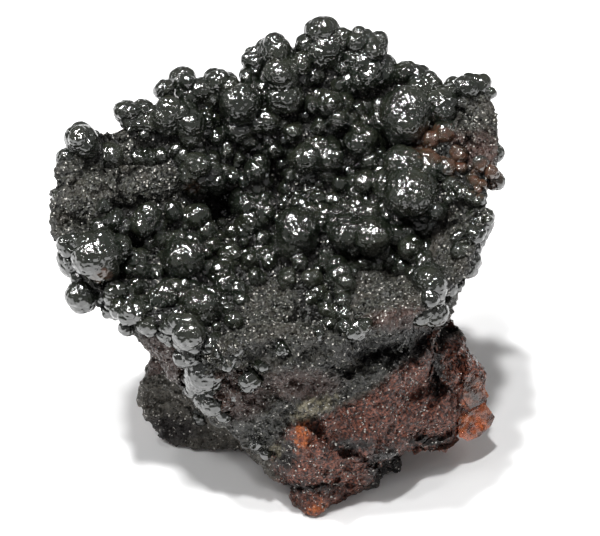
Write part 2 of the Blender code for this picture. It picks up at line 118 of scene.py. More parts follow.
# %% Rings of the rock
RIM_SEEN = [
    (492, 150, 13), (476, 94, 25), (402, 80, 31), (328, 52, 33), (254, 74, 32),
    (188, 101, 27), (116, 124, 19), (64, 182, 7), (70, 264, -5), (136, 320, -15),
    (230, 338, -20), (317, 337, -21), (399, 322, -19), (460, 282, -9), (490, 218, 2),
]
WAIST = [
    (27, 8, 32), (25, 17, 31), (15, 24, 30), (4, 26, 30), (-7, 25, 29),
    (-17, 21, 28), (-26, 14, 28), (-31, 4, 31), (-31, -5, 33), (-24, -13, 29),
    (-12, -19, 25), (2, -21, 26), (15, -19, 30), (23, -11, 32), (25, -1, 32),
]
ANKLE = [
    (24, 6, 14), (23, 14, 14), (14, 21, 14), (4, 23, 14), (-6, 22, 14),
    (-15, 19, 14), (-22, 13, 14), (-23, 4, 14), (-20, -3, 15), (-14, -10, 16),
    (-10, -18, 14), (2, -22, 12), (13, -20, 13), (21, -13, 13), (24, -4, 13),
]
FOOT = [
    (21, 4, -2), (20, 12, -2), (12, 18, -2), (3, 20, -2), (-6, 20, -2),
    (-14, 17, -2), (-22, 12, -2), (-18, 5, -2), (-14, 1, -2), (-8, -3, -2),
    (-2, -12, -2), (2.7, -20, -2), (9, -14, -2), (15, -9, -2), (18, -2, -2),
]
BOWL_CENTRE = (-8, 7, 39)
BOWL_RINGS = ((0.10, 0.3), (0.50, 3.0), (0.82, 1.0))


def rock_rings():
    """Rings of the rock body from the foot, over the rim, to the middle of the bowl."""
    rim = [seen_at(*corner) for corner in RIM_SEEN]
    centre = Vector(BOWL_CENTRE) * MM
    inner = []
    for share, drop in BOWL_RINGS:
        sunk = Vector((0, 0, -drop * MM))
        inner.append([corner.lerp(centre, share) + sunk for corner in rim])
    return [in_metres(FOOT), in_metres(ANKLE), in_metres(WAIST), rim] + inner


def rock_body():
    """The rock as one closed cage of quads, divided fine enough for its relief."""
    mesh = bmesh.new()
    rings = [[mesh.verts.new(point) for point in ring] for ring in rock_rings()]
    count = len(rings[0])
    for lower, upper in zip(rings, rings[1:]):
        for i in range(count):
            j = (i + 1) % count
            mesh.faces.new((lower[i], lower[j], upper[j], upper[i]))
    for ring in (rings[0], rings[-1]):
        middle = mesh.verts.new(sum((v.co for v in ring), Vector()) / count)
        for i in range(count):
            mesh.faces.new((ring[i], ring[(i + 1) % count], middle))
    bmesh.ops.recalc_face_normals(mesh, faces=mesh.faces)
    for _ in range(3):
        bmesh.ops.subdivide_edges(mesh, edges=mesh.edges, cuts=1, use_grid_fill=True)
    bmesh.ops.smooth_vert(mesh, verts=mesh.verts, factor=0.5,
                          use_axis_x=True, use_axis_y=True, use_axis_z=True)
    return mesh


print("rings of", len(WAIST), "columns")

# %% [markdown]
# ## Broken blocks
# Where the specimen was broken from the wall of its cavity, it shows angular chunks. Each
# is the solid spanned by a handful of corners: some seen in the picture, some hidden
# inside. A convex hull is the quickest honest way to such a shape.

# %% Corners of the blocks
LEFT_SHELF = (
    [(66, 141, 14), (75, 160, 12), (56, 180, 10), (49, 200, 7), (50, 220, 3),
     (57, 240, -1), (68, 266, -5), (78, 288, -7), (90, 303, -9), (110, 128, 18),
     (90, 134, 17), (112, 232, 0)],
    [(-35, 15, 38), (-34, 0, 34), (-27, -6, 30)],
)
RIGHT_BLOCK = (
    [(455, 98, 24), (487, 91, 26), (500, 112, 22), (502, 140, 16), (496, 168, 10),
     (470, 165, 11), (455, 130, 18)],
    [(25, 19, 46), (31, 10, 40)],
)
SLAB = (
    [(152, 362, 0.5), (148, 374, 0), (144, 390, -0.5), (142, 402, -0.5), (149, 414, -1),
     (150, 427, -1.5), (156, 441, -2.2), (190, 449, -4.4), (250, 453, -5.6)],
    [(-8, -5, 20), (-8, 8, 20), (-27, 7, 18), (-24, 8, -1), (-8, 8, -1)],
)
RIGHT_CHUNK = (
    [(447, 357, -6), (472, 361, -4), (486, 378, -2.5), (484, 400, -3), (470, 430, -7),
     (458, 440, -9.5), (445, 450, -11), (410, 452, -13.5), (392, 376, -15),
     (408, 360, -12), (422, 349, -9)],
    [(24, 6, 28), (28, 4, 12), (22, 0, 8)],
)
DARK_FOOT = (
    [(403, 454, -9), (399, 470, -10), (377, 485, -13.4), (360, 489, -14.6)],
    [(12, -6, -1), (17, -5, -1), (16, -8, 12), (8, -12, 12)],
)
TIP = (
    [(315, 518, -21.8), (299, 509, -19.6), (290, 501, -17.5), (331, 511, -20),
     (346, 493, -15.5)],
    [(0, -12, -1), (9, -12, -1), (6, -20, 12), (-1, -18, 12)],
)


def spanned_block(corners):
    """A broken block: the convex solid that its seen and hidden corners span."""
    seen, hidden = corners
    mesh = bmesh.new()
    for point in [seen_at(*corner) for corner in seen] + in_metres(hidden):
        mesh.verts.new(point)
    hull = bmesh.ops.convex_hull(mesh, input=mesh.verts)
    spare = [item for item in hull["geom_interior"] if isinstance(item, bmesh.types.BMVert)]
    bmesh.ops.delete(mesh, geom=spare, context="VERTS")
    bmesh.ops.recalc_face_normals(mesh, faces=mesh.faces)
    return mesh


def divided(mesh, longest, rounds=6):
    """Divide a block's long edges, so that its faces can carry relief."""
    for _ in range(rounds):
        long_edges = [edge for edge in mesh.edges if edge.calc_length() > longest]
        if not long_edges:
            break
        bmesh.ops.subdivide_edges(mesh, edges=long_edges, cuts=1)
        bmesh.ops.triangulate(mesh, faces=mesh.faces)
    return mesh


BLOCKS = (LEFT_SHELF, RIGHT_BLOCK, SLAB, RIGHT_CHUNK, DARK_FOOT, TIP)
print("blocks:", len(BLOCKS))

# %% [markdown]
# ## Lumps and dents
# No face of a rock is flat. A fractal noise moves the surface in and out by about a
# millimetre, and lists of dents and swellings, read from the picture, push it along the
# sight lines: the deep middle of the bowl, the pits in the front rim, the undercut above
# the red matrix, the hollows that lie dark between mounds of knobs, and those mounds.

# %% Dents and mounds read from the picture
GRAIN_HEIGHT = 0.0009
LUMP_HEIGHT = 0.0016
LUMP_LENGTH = 0.009
DENTS = [
    (250, 232, 44, 5.0), (213, 328, 17, 7.0), (325, 304, 15, 6.0), (258, 285, 16, 4.0),
    (388, 267, 16, 5.0), (395, 350, 14, 6.0), (368, 353, 12, 4.5), (425, 338, 12, 4.0),
    (437, 365, 8, 1.8), (438, 385, 8, 1.8), (308, 487, 8, 1.2), (430, 441, 10, 1.5),
    (437, 412, 22, -1.8), (300, 437, 14, -0.8), (205, 375, 20, -1.2), (380, 300, 28, -1.5),
    (465, 245, 24, -1.0), (140, 185, 26, -1.5), (265, 300, 26, -1.5), (330, 360, 26, -0.8),
]
HOLLOWS = [
    (276, 172, 20, 4.5), (205, 202, 24, 4.0), (340, 95, 10, 3.5), (225, 238, 18, 3.0),
    (432, 230, 12, 4.0), (128, 243, 12, 3.0), (275, 264, 16, 3.0), (355, 264, 12, 2.0),
    (330, 200, 12, 2.5), (305, 116, 12, 3.5), (386, 142, 8, 3.0), (345, 165, 8, 2.5),
    (222, 120, 10, 3.0), (160, 235, 12, 2.5), (152, 290, 10, 2.0), (462, 158, 10, 2.5),
    (250, 160, 10, 2.0), (225, 205, 12, 2.5),
]
RIDGES = [
    (297, 234, 18, -3.0), (345, 232, 18, -3.0), (376, 236, 20, -3.0), (408, 188, 24, -3.0),
    (405, 118, 24, -2.5), (240, 106, 18, -2.5), (318, 158, 20, -2.5), (364, 144, 13, -2.0),
    (97, 256, 20, -1.5), (183, 258, 18, -2.5), (202, 172, 18, -2.0), (200, 312, 18, -1.5),
    (284, 84, 18, -2.5), (366, 68, 20, -2.0), (190, 125, 18, -2.0), (430, 284, 16, -1.5),
    (342, 282, 14, -2.0), (170, 292, 14, -1.5), (257, 170, 12, -2.0), (332, 108, 10, -1.5),
]
print("dents:", len(DENTS), "hollows:", len(HOLLOWS), "mounds:", len(RIDGES))

# %% Relief
DENT_REACH = 2.2
FULL_PUSH = 2.5
LUMP_NOISE = (0.9, 2.1, 3)
GRAIN_NOISE = (0.8, 2.0, 2)
GRAIN_SHARE = 0.3
GRAIN_SHIFT = Vector((7, 3, 5))
BLOCK_EDGE = 0.0032
BLOCK_LUMPS = 0.5


def add_relief(mesh, lump_height, grain_height):
    """Lumps and grains all over, and the dents on the side that is seen."""
    mesh.normal_update()
    across, down = picture_positions([vert.co for vert in mesh.verts])
    push = np.zeros(len(across))
    for dent_across, dent_down, radius, depth in DENTS + HOLLOWS + RIDGES:
        reach = np.hypot(across - dent_across, down - dent_down) / radius
        push += np.where(reach < DENT_REACH, depth * MM * np.exp(-reach * reach), 0)
    moves = []
    for vert, dent in zip(mesh.verts, push):
        lump = noise.fractal(vert.co / LUMP_LENGTH, *LUMP_NOISE)
        fine = vert.co / (LUMP_LENGTH * GRAIN_SHARE) + GRAIN_SHIFT
        grain = noise.fractal(fine, *GRAIN_NOISE)
        move = vert.normal * (lump_height * lump + grain_height * grain)
        facing = max(0.0, -vert.normal.dot(SIGHT_WAY))
        if facing > 0.0:
            move += (vert.co - EYE).normalized() * dent * min(1.0, facing * FULL_PUSH)
        moves.append(move)
    for vert, move in zip(mesh.verts, moves):
        vert.co += move


def merged(parts):
    """One mesh that holds several closed ones."""
    whole = bmesh.new()
    for part in parts:
        held = bpy.data.meshes.new("held")
        part.to_mesh(held)
        whole.from_mesh(held)
        bpy.data.meshes.remove(held)
    return whole


body = rock_body()
add_relief(body, LUMP_HEIGHT, GRAIN_HEIGHT)
blocks = []
for corners in BLOCKS:
    block = divided(spanned_block(corners), BLOCK_EDGE)
    add_relief(block, LUMP_HEIGHT * BLOCK_LUMPS, GRAIN_HEIGHT)
    blocks.append(block)
rough_rock = merged([body] + blocks)
rock_tree = BVHTree.FromBMesh(rough_rock)
print("rough rock:", len(rough_rock.faces), "faces")

# %% [markdown]
# ## Knobs
# Goethite grows outwards from many points at once. Where two growths meet, they leave a
# sharp crease, so a large knob looks like several balls pushed into one another. Each knob
# here is written down by place and radius. A Geometry Nodes tree then sets one ball at
# its middle and a few smaller caps off it, and unites them.

# %% Knobs read from the picture
CREST_KNOBS = [
    (322, 34, 16), (326, 49, 19), (308, 45, 11), (341, 41, 12), (359, 41, 14),
    (376, 42, 11), (374, 50, 12), (274, 52, 18), (254, 60, 12), (248, 76, 10),
    (282, 79, 18), (300, 65, 12), (287, 97, 18), (262, 92, 11), (360, 64, 16),
    (382, 74, 17), (367, 76, 15), (342, 68, 8),
]
BACK_WALL_KNOBS = [
    (240, 106, 19), (264, 120, 15), (249, 140, 9), (294, 132, 10), (320, 127, 9),
    (332, 104, 13), (338, 117, 12), (338, 87, 8), (311, 105, 9), (304, 116, 7),
    (372, 124, 8), (405, 116, 26), (380, 104, 9), (405, 72, 12), (418, 77, 12),
    (430, 84, 11), (420, 92, 15), (440, 107, 16), (309, 159, 15), (330, 157, 13),
    (326, 175, 9), (362, 142, 15), (369, 160, 10), (365, 184, 12), (257, 170, 14),
    (231, 177, 9), (243, 180, 7), (238, 160, 7), (283, 163, 7), (291, 175, 8),
    (340, 185, 8), (350, 173, 7), (275, 150, 8), (225, 150, 8),
]
BACK_LEFT_KNOBS = [
    (165, 91, 10), (183, 83, 14), (190, 97, 14), (201, 89, 13), (212, 94, 14),
    (218, 83, 14), (228, 87, 13), (127, 111, 12), (143, 112, 11), (154, 113, 9),
    (150, 124, 10), (136, 122, 10), (190, 128, 16), (205, 120, 10), (215, 137, 10),
    (182, 157, 8), (197, 165, 14), (212, 176, 14), (190, 173, 11), (205, 185, 9),
    (223, 172, 8), (83, 140, 16), (171, 115, 18), (176, 150, 7),
]
RIGHT_KNOBS = [
    (467, 88, 13), (480, 86, 11), (490, 93, 7), (449, 93, 9), (447, 133, 13),
    (431, 141, 10), (459, 155, 9), (445, 170, 10), (480, 165, 8), (492, 172, 7),
    (496, 181, 9), (443, 176, 7), (450, 185, 8), (457, 188, 7), (463, 193, 7),
    (470, 198, 7), (478, 201, 7), (406, 167, 20), (409, 192, 25), (384, 178, 9),
    (382, 190, 8), (437, 212, 10), (476, 235, 9), (462, 252, 10),
    (458, 237, 7), (425, 215, 8),
]
FRONT_KNOBS = [
    (367, 215, 13), (372, 238, 19), (396, 237, 11), (386, 212, 8), (393, 222, 6),
    (403, 228, 6), (412, 250, 13), (430, 284, 17), (341, 277, 14), (346, 287, 12),
    (345, 302, 8), (297, 232, 21), (297, 245, 17), (324, 214, 10), (320, 226, 9),
    (308, 212, 9), (337, 214, 9), (344, 234, 17), (350, 244, 12), (247, 207, 12),
    (263, 212, 12), (252, 222, 12), (245, 228, 11), (287, 280, 10), (312, 280, 10),
    (226, 287, 12), (230, 257, 12), (222, 275, 12), (300, 262, 9),
    (327, 262, 9), (270, 262, 9), (250, 262, 10), (205, 270, 9), (240, 290, 9),
    (256, 278, 9),
]
LEFT_KNOBS = [
    (173, 213, 10), (195, 217, 14), (205, 232, 11), (150, 215, 12), (140, 224, 12),
    (105, 207, 7), (113, 221, 9), (121, 228, 10), (70, 245, 11), (97, 256, 22),
    (100, 244, 15), (105, 270, 12), (70, 262, 6), (82, 297, 14), (135, 262, 13),
    (141, 272, 11), (128, 272, 9), (136, 288, 8), (183, 258, 20), (190, 248, 13),
    (172, 264, 12), (115, 293, 11), (157, 300, 10), (167, 294, 11), (178, 290, 11),
    (189, 291, 10), (132, 313, 12), (147, 326, 9), (200, 310, 19), (208, 300, 12),
    (190, 332, 15), (178, 322, 9), (212, 245, 9), (160, 240, 9), (155, 272, 9),
    (110, 310, 8), (165, 335, 8), (225, 310, 9),
]
GAP_KNOBS = [
    (365, 262, 9), (377, 265, 9), (392, 259, 10), (402, 268, 9), (354, 266, 8),
    (318, 292, 9), (330, 298, 8), (310, 300, 7), (384, 250, 9), (425, 262, 9),
    (356, 205, 9), (345, 208, 8), (333, 200, 9), (318, 198, 8), (300, 205, 9),
    (389, 214, 9), (398, 222, 9), (406, 234, 9),
]
APRON_KNOBS = [
    (205, 372, 21), (190, 354, 14), (213, 397, 16), (249, 378, 12), (228, 360, 10),
    (201, 416, 9), (223, 413, 9), (237, 393, 9), (196, 386, 11), (257, 441, 8),
    (266, 453, 6), (216, 346, 12), (240, 348, 8), (262, 366, 7), (283, 348, 7),
    (356, 331, 9), (345, 326, 7), (318, 334, 6), (365, 326, 7),
]
BACK_GROUPS = [CREST_KNOBS, BACK_WALL_KNOBS, BACK_LEFT_KNOBS]
FRONT_GROUPS = [RIGHT_KNOBS, FRONT_KNOBS, LEFT_KNOBS, GAP_KNOBS]
ALL_GROUPS = BACK_GROUPS + FRONT_GROUPS + [APRON_KNOBS]
print("knobs listed:", sum(len(group) for group in ALL_GROUPS))

# %% [markdown]
# ## Seat the knobs
# A knob sits a third sunk in the ground that it grew from. Its sight line is followed to
# the rock, and its centre is set a share of its radius in front of that hit. At the
# outline, where the line misses, it goes to the nearest point beside the rock, with a
# second knob as its root. The low knobs of the apron lie deeper.

# %% Seat the knobs
KNOB_RISE = 0.34
APRON_RISE = -0.45
KNOB_SWELL = 1.14
NEAREST_SHARE = 0.88
SEARCH_SHARE = 0.24
SEARCH_STEPS = 80
ROOT_SHARE = 0.8
ROOT_PLACE = 0.6


def knob_seat(across_px, down_px, radius, rise):
    """Centre of a knob on its sight line, and a point of the rock that carries it."""
    way = sight_line(across_px, down_px)
    hit, _, _, _ = rock_tree.ray_cast(EYE, way)
    if hit is not None:
        return hit - way * radius * rise, hit
    steps = [EYE + way * SIGHT_DISTANCE * (NEAREST_SHARE + SEARCH_SHARE * i / SEARCH_STEPS)
             for i in range(SEARCH_STEPS + 1)]
    centre = min(steps, key=lambda point: rock_tree.find_nearest(point)[3])
    return centre, rock_tree.find_nearest(centre)[0]


def seated(groups, rise=KNOB_RISE):
    """Centres and radii of listed knobs, each with a root where it hangs clear."""
    found = []
    for group in groups:
        for across_px, down_px, radius_px in group:
            radius = radius_px * PIXEL * KNOB_SWELL
            centre, root = knob_seat(across_px, down_px, radius, rise)
            found.append((centre, radius))
            if (root - centre).length > radius * ROOT_SHARE:
                found.append((centre.lerp(root, ROOT_PLACE), radius * ROOT_SHARE))
    return found


back_knobs = seated(BACK_GROUPS)
front_knobs = seated(FRONT_GROUPS)
apron_knobs = seated([APRON_KNOBS], APRON_RISE)
print("knobs:", len(back_knobs), "back,", len(front_knobs), "front,",
      len(apron_knobs), "low")

# %% [markdown]
# ## Smaller knobs around them
# On the specimen no large knob stands alone: others bud low on its flanks and fill the
# gaps. Two or three satellites go round each larger knob, on the side turned away from
# the viewer, so that they never hide it. None grows where the crust is broken and bare.

# %% Satellites
BROKEN_PATCHES = [
    (77, 200, 30, 40), (142, 185, 38, 20), (479, 130, 24, 34), (460, 240, 30, 36),
    (385, 305, 34, 32), (270, 305, 24, 22),
]
SATELLITE_SIZE = (0.60, 0.90)
SATELLITE_COUNT = (2, 3)
SATELLITE_LEAN = 1.5
SATELLITE_STRAY = 0.3
SATELLITE_START = 0.80
SATELLITE_OVERLAP = (-0.10, 0.25)
SATELLITE_DROP = (0.85, 1.25)
SATELLITE_HOLD = 1.2
SMALLEST_PARENT = 9 * PIXEL


def on_broken_patch(point):
    """Whether a point lies, as seen, on a broken and bare patch."""
    across, down = picture_positions([point])
    for middle_across, middle_down, half_width, half_height in BROKEN_PATCHES:
        if math.hypot((across[0] - middle_across) / half_width,
                      (down[0] - middle_down) / half_height) < 1:
            return True
    return False


def satellites(knobs, seed):
    """Smaller knobs that grow round each larger one, on its flanks."""
    chance = random.Random(seed)
    found = []
    for centre, radius in knobs:
        if radius < SMALLEST_PARENT:
            continue
        _, normal, _, _ = rock_tree.find_nearest(centre)
        axis = (normal - SIGHT_WAY * SATELLITE_LEAN).normalized()
        side = axis.orthogonal().normalized()
        count = chance.randint(*SATELLITE_COUNT)
        turn = chance.uniform(0, math.tau)
        for i in range(count):
            small = radius * chance.uniform(*SATELLITE_SIZE)
            stray = chance.uniform(-SATELLITE_STRAY, SATELLITE_STRAY)
            angle = turn + (i + stray) * math.tau / count
            out = Matrix.Rotation(angle, 3, axis) @ side
            far = radius * SATELLITE_START + small * chance.uniform(*SATELLITE_OVERLAP)
            point = centre + out * far - axis * radius * chance.uniform(*SATELLITE_DROP)
            held = rock_tree.find_nearest(point)[3] < small * SATELLITE_HOLD
            if held and not on_broken_patch(point):
                found.append((point, small))
    return found


back_satellites = satellites(back_knobs, 21)
front_satellites = satellites(front_knobs, 22)
print("satellites:", len(back_satellites), "back,", len(front_satellites), "front")

# %% [markdown]
# ## Helpers for objects and node trees
# Objects come from meshes, modifiers are fixed into the mesh once they have done their
# work, and a Geometry Nodes tree is run on an object and then taken off again, so that
# what stays is a plain mesh. The node helpers each add one kind of node, so that a tree
# reads like a recipe.

# %% Objects and modifiers


def new_object(name, mesh):
    """An object in the scene with the given mesh."""
    data = bpy.data.meshes.new(name)
    mesh.to_mesh(data)
    mesh.free()
    thing = bpy.data.objects.new(name, data)
    bpy.context.scene.collection.objects.link(thing)
    return thing


def fixed(thing):
    """Fix an object's modifiers into its mesh."""
    bpy.context.view_layer.update()
    shaped = thing.evaluated_get(bpy.context.evaluated_depsgraph_get())
    data = bpy.data.meshes.new_from_object(shaped)
    thing.modifiers.clear()
    thing.data = data


def triangles(thing):
    """How many triangles an object has."""
    thing.data.calc_loop_triangles()
    return len(thing.data.loop_triangles)


def sharp_creases(thing, degrees):
    """Smooth shading, with the creases between knobs kept sharp."""
    thing.data.shade_smooth()
    thing.data.set_sharp_from_angle(angle=math.radians(degrees))


def dress(thing, material):
    """Give an object one material."""
    thing.data.materials.clear()
    thing.data.materials.append(material)


print("object helpers ready")

# %% Node helpers


def new_tree(name, inputs):
    """An empty Geometry Nodes tree with named inputs, and its two end nodes."""
    tree = bpy.data.node_groups.new(name, "GeometryNodeTree")
    tree.interface.new_socket("Geometry", in_out="INPUT", socket_type="NodeSocketGeometry")
    for label, kind in inputs:
        tree.interface.new_socket(label, in_out="INPUT", socket_type="NodeSocket" + kind)
    tree.interface.new_socket("Geometry", in_out="OUTPUT", socket_type="NodeSocketGeometry")
    return tree, tree.nodes.new("NodeGroupInput"), tree.nodes.new("NodeGroupOutput")


def add(tree, kind, wires=None, **settings):
    """A node with its settings, each input given a value or wired to a socket."""
    node = tree.nodes.new(kind)
    for name, value in settings.items():
        setattr(node, name, value)
    for name, source in (wires or {}).items():
        if isinstance(source, bpy.types.NodeSocket):
            tree.links.new(source, node.inputs[name])
        else:
            node.inputs[name].default_value = source
    return node


def figure(tree, operation, first, second):
    """The result of one operation on two values."""
    return add(tree, "ShaderNodeMath", {0: first, 1: second},
               operation=operation).outputs[0]


def stretched(tree, vector, factor):
    """A vector times a factor."""
    return add(tree, "ShaderNodeVectorMath", {0: vector, "Scale": factor},
               operation="SCALE").outputs[0]


def ramp(tree, value, low, high, to_low=0.0, to_high=1.0):
    """A value stretched from one range to another, and held there."""
    return add(tree, "ShaderNodeMapRange", {
        "Value": value, "From Min": low, "From Max": high, "To Min": to_low,
        "To Max": to_high}).outputs[0]


def named(tree, name):
    """The numbers that a mesh keeps under a name."""
    return add(tree, "GeometryNodeInputNamedAttribute", {"Name": name}).outputs["Attribute"]


def ball(tree, fineness):
    """A ball of radius 1."""
    return add(tree, "GeometryNodeMeshIcoSphere", {
        "Radius": 1.0, "Subdivisions": fineness}).outputs["Mesh"]


def between(tree, low, high):
    """A random number between two inputs for each point."""
    return add(tree, "FunctionNodeRandomValue", {2: low, 3: high},
               data_type="FLOAT").outputs[1]


def moved(tree, geometry, way, distance):
    """Geometry moved along a way by a distance."""
    return add(tree, "GeometryNodeSetPosition", {
        "Geometry": geometry, "Offset": stretched(tree, way, distance)}).outputs[0]


def united(tree, meshes):
    """All meshes that cross, grown into one closed mesh."""
    return add(tree, "GeometryNodeMeshBoolean", {"Mesh 2": meshes}, operation="UNION",
               solver="MANIFOLD").outputs[0]


def close_tree(tree, start, end, geometry):
    """Make instances real, set the material and end the tree."""
    real = add(tree, "GeometryNodeRealizeInstances", {"Geometry": geometry})
    dressed = add(tree, "GeometryNodeSetMaterial", {
        "Geometry": real.outputs[0], "Material": start.outputs["Material"]})
    tree.links.new(dressed.outputs[0], end.inputs["Geometry"])


def run_tree(thing, tree, values):
    """Run a tree on an object with its inputs set, and keep the plain mesh."""
    step = thing.modifiers.new("tree", "NODES")
    step.node_group = tree
    for item in tree.interface.items_tree:
        if item.item_type == "SOCKET" and item.in_out == "INPUT" and item.name in values:
            step[item.identifier] = values[item.name]
    fixed(thing)


print("node helpers ready")

# %% [markdown]
# ## One skin over the rock
# Body and blocks still cross each other. A voxel remesh grows them together into one
# closed skin of small even quads, which is what fine displacement needs. Masks painted on
# it say where knobs may grow and where it is broken and bare. A mask is a list of soft
# ellipses in the picture, or a soft outline.

# %% Soft shapes in the picture
BEADED_PATCHES = [
    (205, 370, 24, 26), (214, 405, 18, 10), (248, 378, 12, 14), (258, 440, 8, 10),
    (356, 331, 15, 9), (318, 333, 8, 7), (196, 346, 22, 12), (232, 352, 14, 10),
]
FRONT_EDGE = [
    (40, 262), (70, 290), (100, 312), (136, 330), (180, 350), (215, 342), (250, 322),
    (300, 322), (350, 336), (395, 335), (440, 310), (465, 285), (500, 250), (520, 240),
]


def ellipses(across, down, patches, softness=0.35):
    """How far picture positions lie inside any of the ellipses, from 0 to 1."""
    inside = np.zeros(len(across))
    for middle_across, middle_down, half_width, half_height in patches:
        reach = np.hypot((across - middle_across) / half_width,
                         (down - middle_down) / half_height)
        inside = np.maximum(inside, np.clip((1 + softness - reach) / softness, 0, 1))
    return inside


def line_distance(across, down, corners):
    """Distance in pixels from picture positions to a line of corners."""
    nearest = np.full(len(across), 1e9)
    for (x0, y0), (x1, y1) in zip(corners, corners[1:]):
        run_x, run_y = x1 - x0, y1 - y0
        share = ((across - x0) * run_x + (down - y0) * run_y) / (run_x ** 2 + run_y ** 2)
        share = np.clip(share, 0, 1)
        reach = np.hypot(across - x0 - share * run_x, down - y0 - share * run_y)
        nearest = np.minimum(nearest, reach)
    return nearest


def strayed(places, waves, pixels):
    """Picture positions that stray a little, so that no line or edge is even."""
    across, down = picture_positions(places)
    stray = np.sin(places @ np.array(waves[0])) + np.sin(places @ np.array(waves[1]))
    return across + pixels * stray, down - pixels * stray


print("beaded patches:", len(BEADED_PATCHES), "front edge:", len(FRONT_EDGE), "corners")

# %% Numbers kept on a mesh
BACK_LOW = 0.046


def skin_points(thing):
    """Places and normals of an object's vertices, as arrays."""
    count = len(thing.data.vertices)
    places = np.empty(count * 3, dtype=np.float32)
    normals = np.empty(count * 3, dtype=np.float32)
    thing.data.vertices.foreach_get("co", places)
    thing.data.vertex_normals.foreach_get("vector", normals)
    return places.reshape(-1, 3).astype(float), normals.reshape(-1, 3).astype(float)


def move_skin(thing, places):
    """Put an object's vertices at new places."""
    flat = np.ascontiguousarray(places, dtype=np.float32).ravel()
    thing.data.vertices.foreach_set("co", flat)
    thing.data.update()


def store(thing, name, values):
    """Keep one number for each vertex under a name."""
    layers = thing.data.attributes
    layer = layers.get(name) or layers.new(name, "FLOAT", "POINT")
    layer.data.foreach_set("value", np.ascontiguousarray(values, dtype=np.float32))


def stored(thing, name):
    """The numbers kept under a name."""
    values = np.empty(len(thing.data.vertices), dtype=np.float32)
    thing.data.attributes[name].data.foreach_get("value", values)
    return values


def side_seen(normals, steepness, shift=0.0):
    """From 0 for faces turned away to 1 for faces that the viewer sees."""
    return np.clip(-(normals @ np.array(SIGHT_WAY)) * steepness + shift, 0, 1)


def growth_masks(thing):
    """Where knobs and beads may grow."""
    places, normals = skin_points(thing)
    across, down = picture_positions(places)
    facing = -(normals @ np.array(SIGHT_WAY))
    edge = np.interp(across, *zip(*FRONT_EDGE))
    above_edge = np.clip((edge - down) / 6, 0, 1)
    seen_top = above_edge * np.clip(normals[:, 2] * 3 + 1.2, 0, 1)
    behind = np.clip((places[:, 2] - BACK_LOW) / 0.004, 0, 1)
    behind *= np.clip(normals[:, 2] * 2 + 1, 0, 1)
    knobby = np.where(facing > 0, seen_top, behind)
    bare = ellipses(across, down, BROKEN_PATCHES) * (facing > -0.1)
    store(thing, "knobby", knobby * (1 - bare))
    store(thing, "beaded", ellipses(across, down, BEADED_PATCHES) * (facing > 0.1))


print("lowest knobby ground behind:", BACK_LOW * 1000, "mm")

# %% Grow the skin
SKIN_VOXEL = 0.00044

skin = new_object("skin", rough_rock)
grow = skin.modifiers.new("skin", "REMESH")
grow.mode = "VOXEL"
grow.voxel_size = SKIN_VOXEL
fixed(skin)
growth_masks(skin)
print("skin:", triangles(skin), "triangles")

# %% [markdown]
# ## Valleys between the knobs
# Large knobs stand on mounds, and between the mounds the bowl falls away into the dark.
# So wherever the knobby ground has no listed knob near, it sinks by up to a few
# millimetres, more the further the nearest knob is. The ground under each knob stays, and
# nothing comes loose.

# %% Sink the ground between knobs
VALLEY_DEPTH = 0.0046
VALLEY_WIDTH = 0.0042


def distance_to_knobs(places, knobs):
    """Distance from each place to the surface of the nearest knob."""
    nearest = np.full(len(places), 1.0)
    for centre, radius in knobs:
        offset = places - np.array(centre)
        nearest = np.minimum(nearest, np.sqrt((offset * offset).sum(axis=1)) - radius)
    return nearest


def sink_valleys(thing):
    """Sink the knobby ground where no knob is near."""
    places, normals = skin_points(thing)
    reach = distance_to_knobs(places, back_knobs + front_knobs)
    share = np.clip(reach / VALLEY_WIDTH, 0, 1)
    share = share * share * (3 - 2 * share)
    depth = VALLEY_DEPTH * share * stored(thing, "knobby") * side_seen(normals, 4)
    move_skin(thing, places - normals * depth[:, None])


sink_valleys(skin)
print("valleys up to", round(VALLEY_DEPTH * 1000, 1), "mm deep")

# %% [markdown]
# ## Ledges, lumps and cracks
# The apron and the matrix have their own landmarks: cracks, a groove down the right
# chunk, rounded lumps with a dark outline. Each is a line or a spot in the picture with a
# width and a depth, and pushes the skin along the sight lines.

# %% Carve the landmarks
CRACKS = [
    ([(280, 490), (308, 485), (336, 482)], 3.0, 1.6),
    ([(434, 348), (431, 368), (438, 388), (436, 402)], 4.5, 2.4),
    ([(405, 432), (425, 437), (449, 433)], 3.5, 1.8),
    ([(399, 455), (430, 453), (462, 443)], 4.0, 1.6),
    ([(290, 425), (320, 418), (343, 406), (366, 396), (391, 376), (406, 360)], 3.5, 1.2),
    ([(416, 395), (424, 387), (440, 386), (455, 395), (458, 412)], 3.0, 1.4),
    ([(455, 352), (462, 366), (458, 384)], 3.0, 1.4),
    ([(182, 385), (206, 372), (232, 380), (252, 398)], 4.0, 1.1),
    ([(228, 350), (250, 362), (262, 384), (282, 400)], 4.0, 1.2),
    ([(318, 345), (330, 365), (352, 372)], 4.0, 1.2),
    ([(270, 455), (280, 440), (288, 424)], 4.0, 1.5),
    ([(350, 368), (380, 350), (410, 352), (449, 330)], 6.0, 2.6),
    ([(312, 424), (330, 441), (352, 452), (376, 466)], 4.5, 2.0),
    ([(60, 215), (85, 226), (104, 246)], 5.0, 1.6),
    ([(55, 190), (75, 184), (98, 160)], 4.0, 1.3),
    ([(106, 190), (128, 206), (160, 203)], 4.0, 1.4),
    ([(457, 160), (470, 140), (460, 112)], 4.0, 1.4),
    ([(440, 222), (462, 228), (488, 214)], 4.0, 1.3),
    ([(150, 404), (172, 398), (196, 412)], 4.0, 1.0),
]
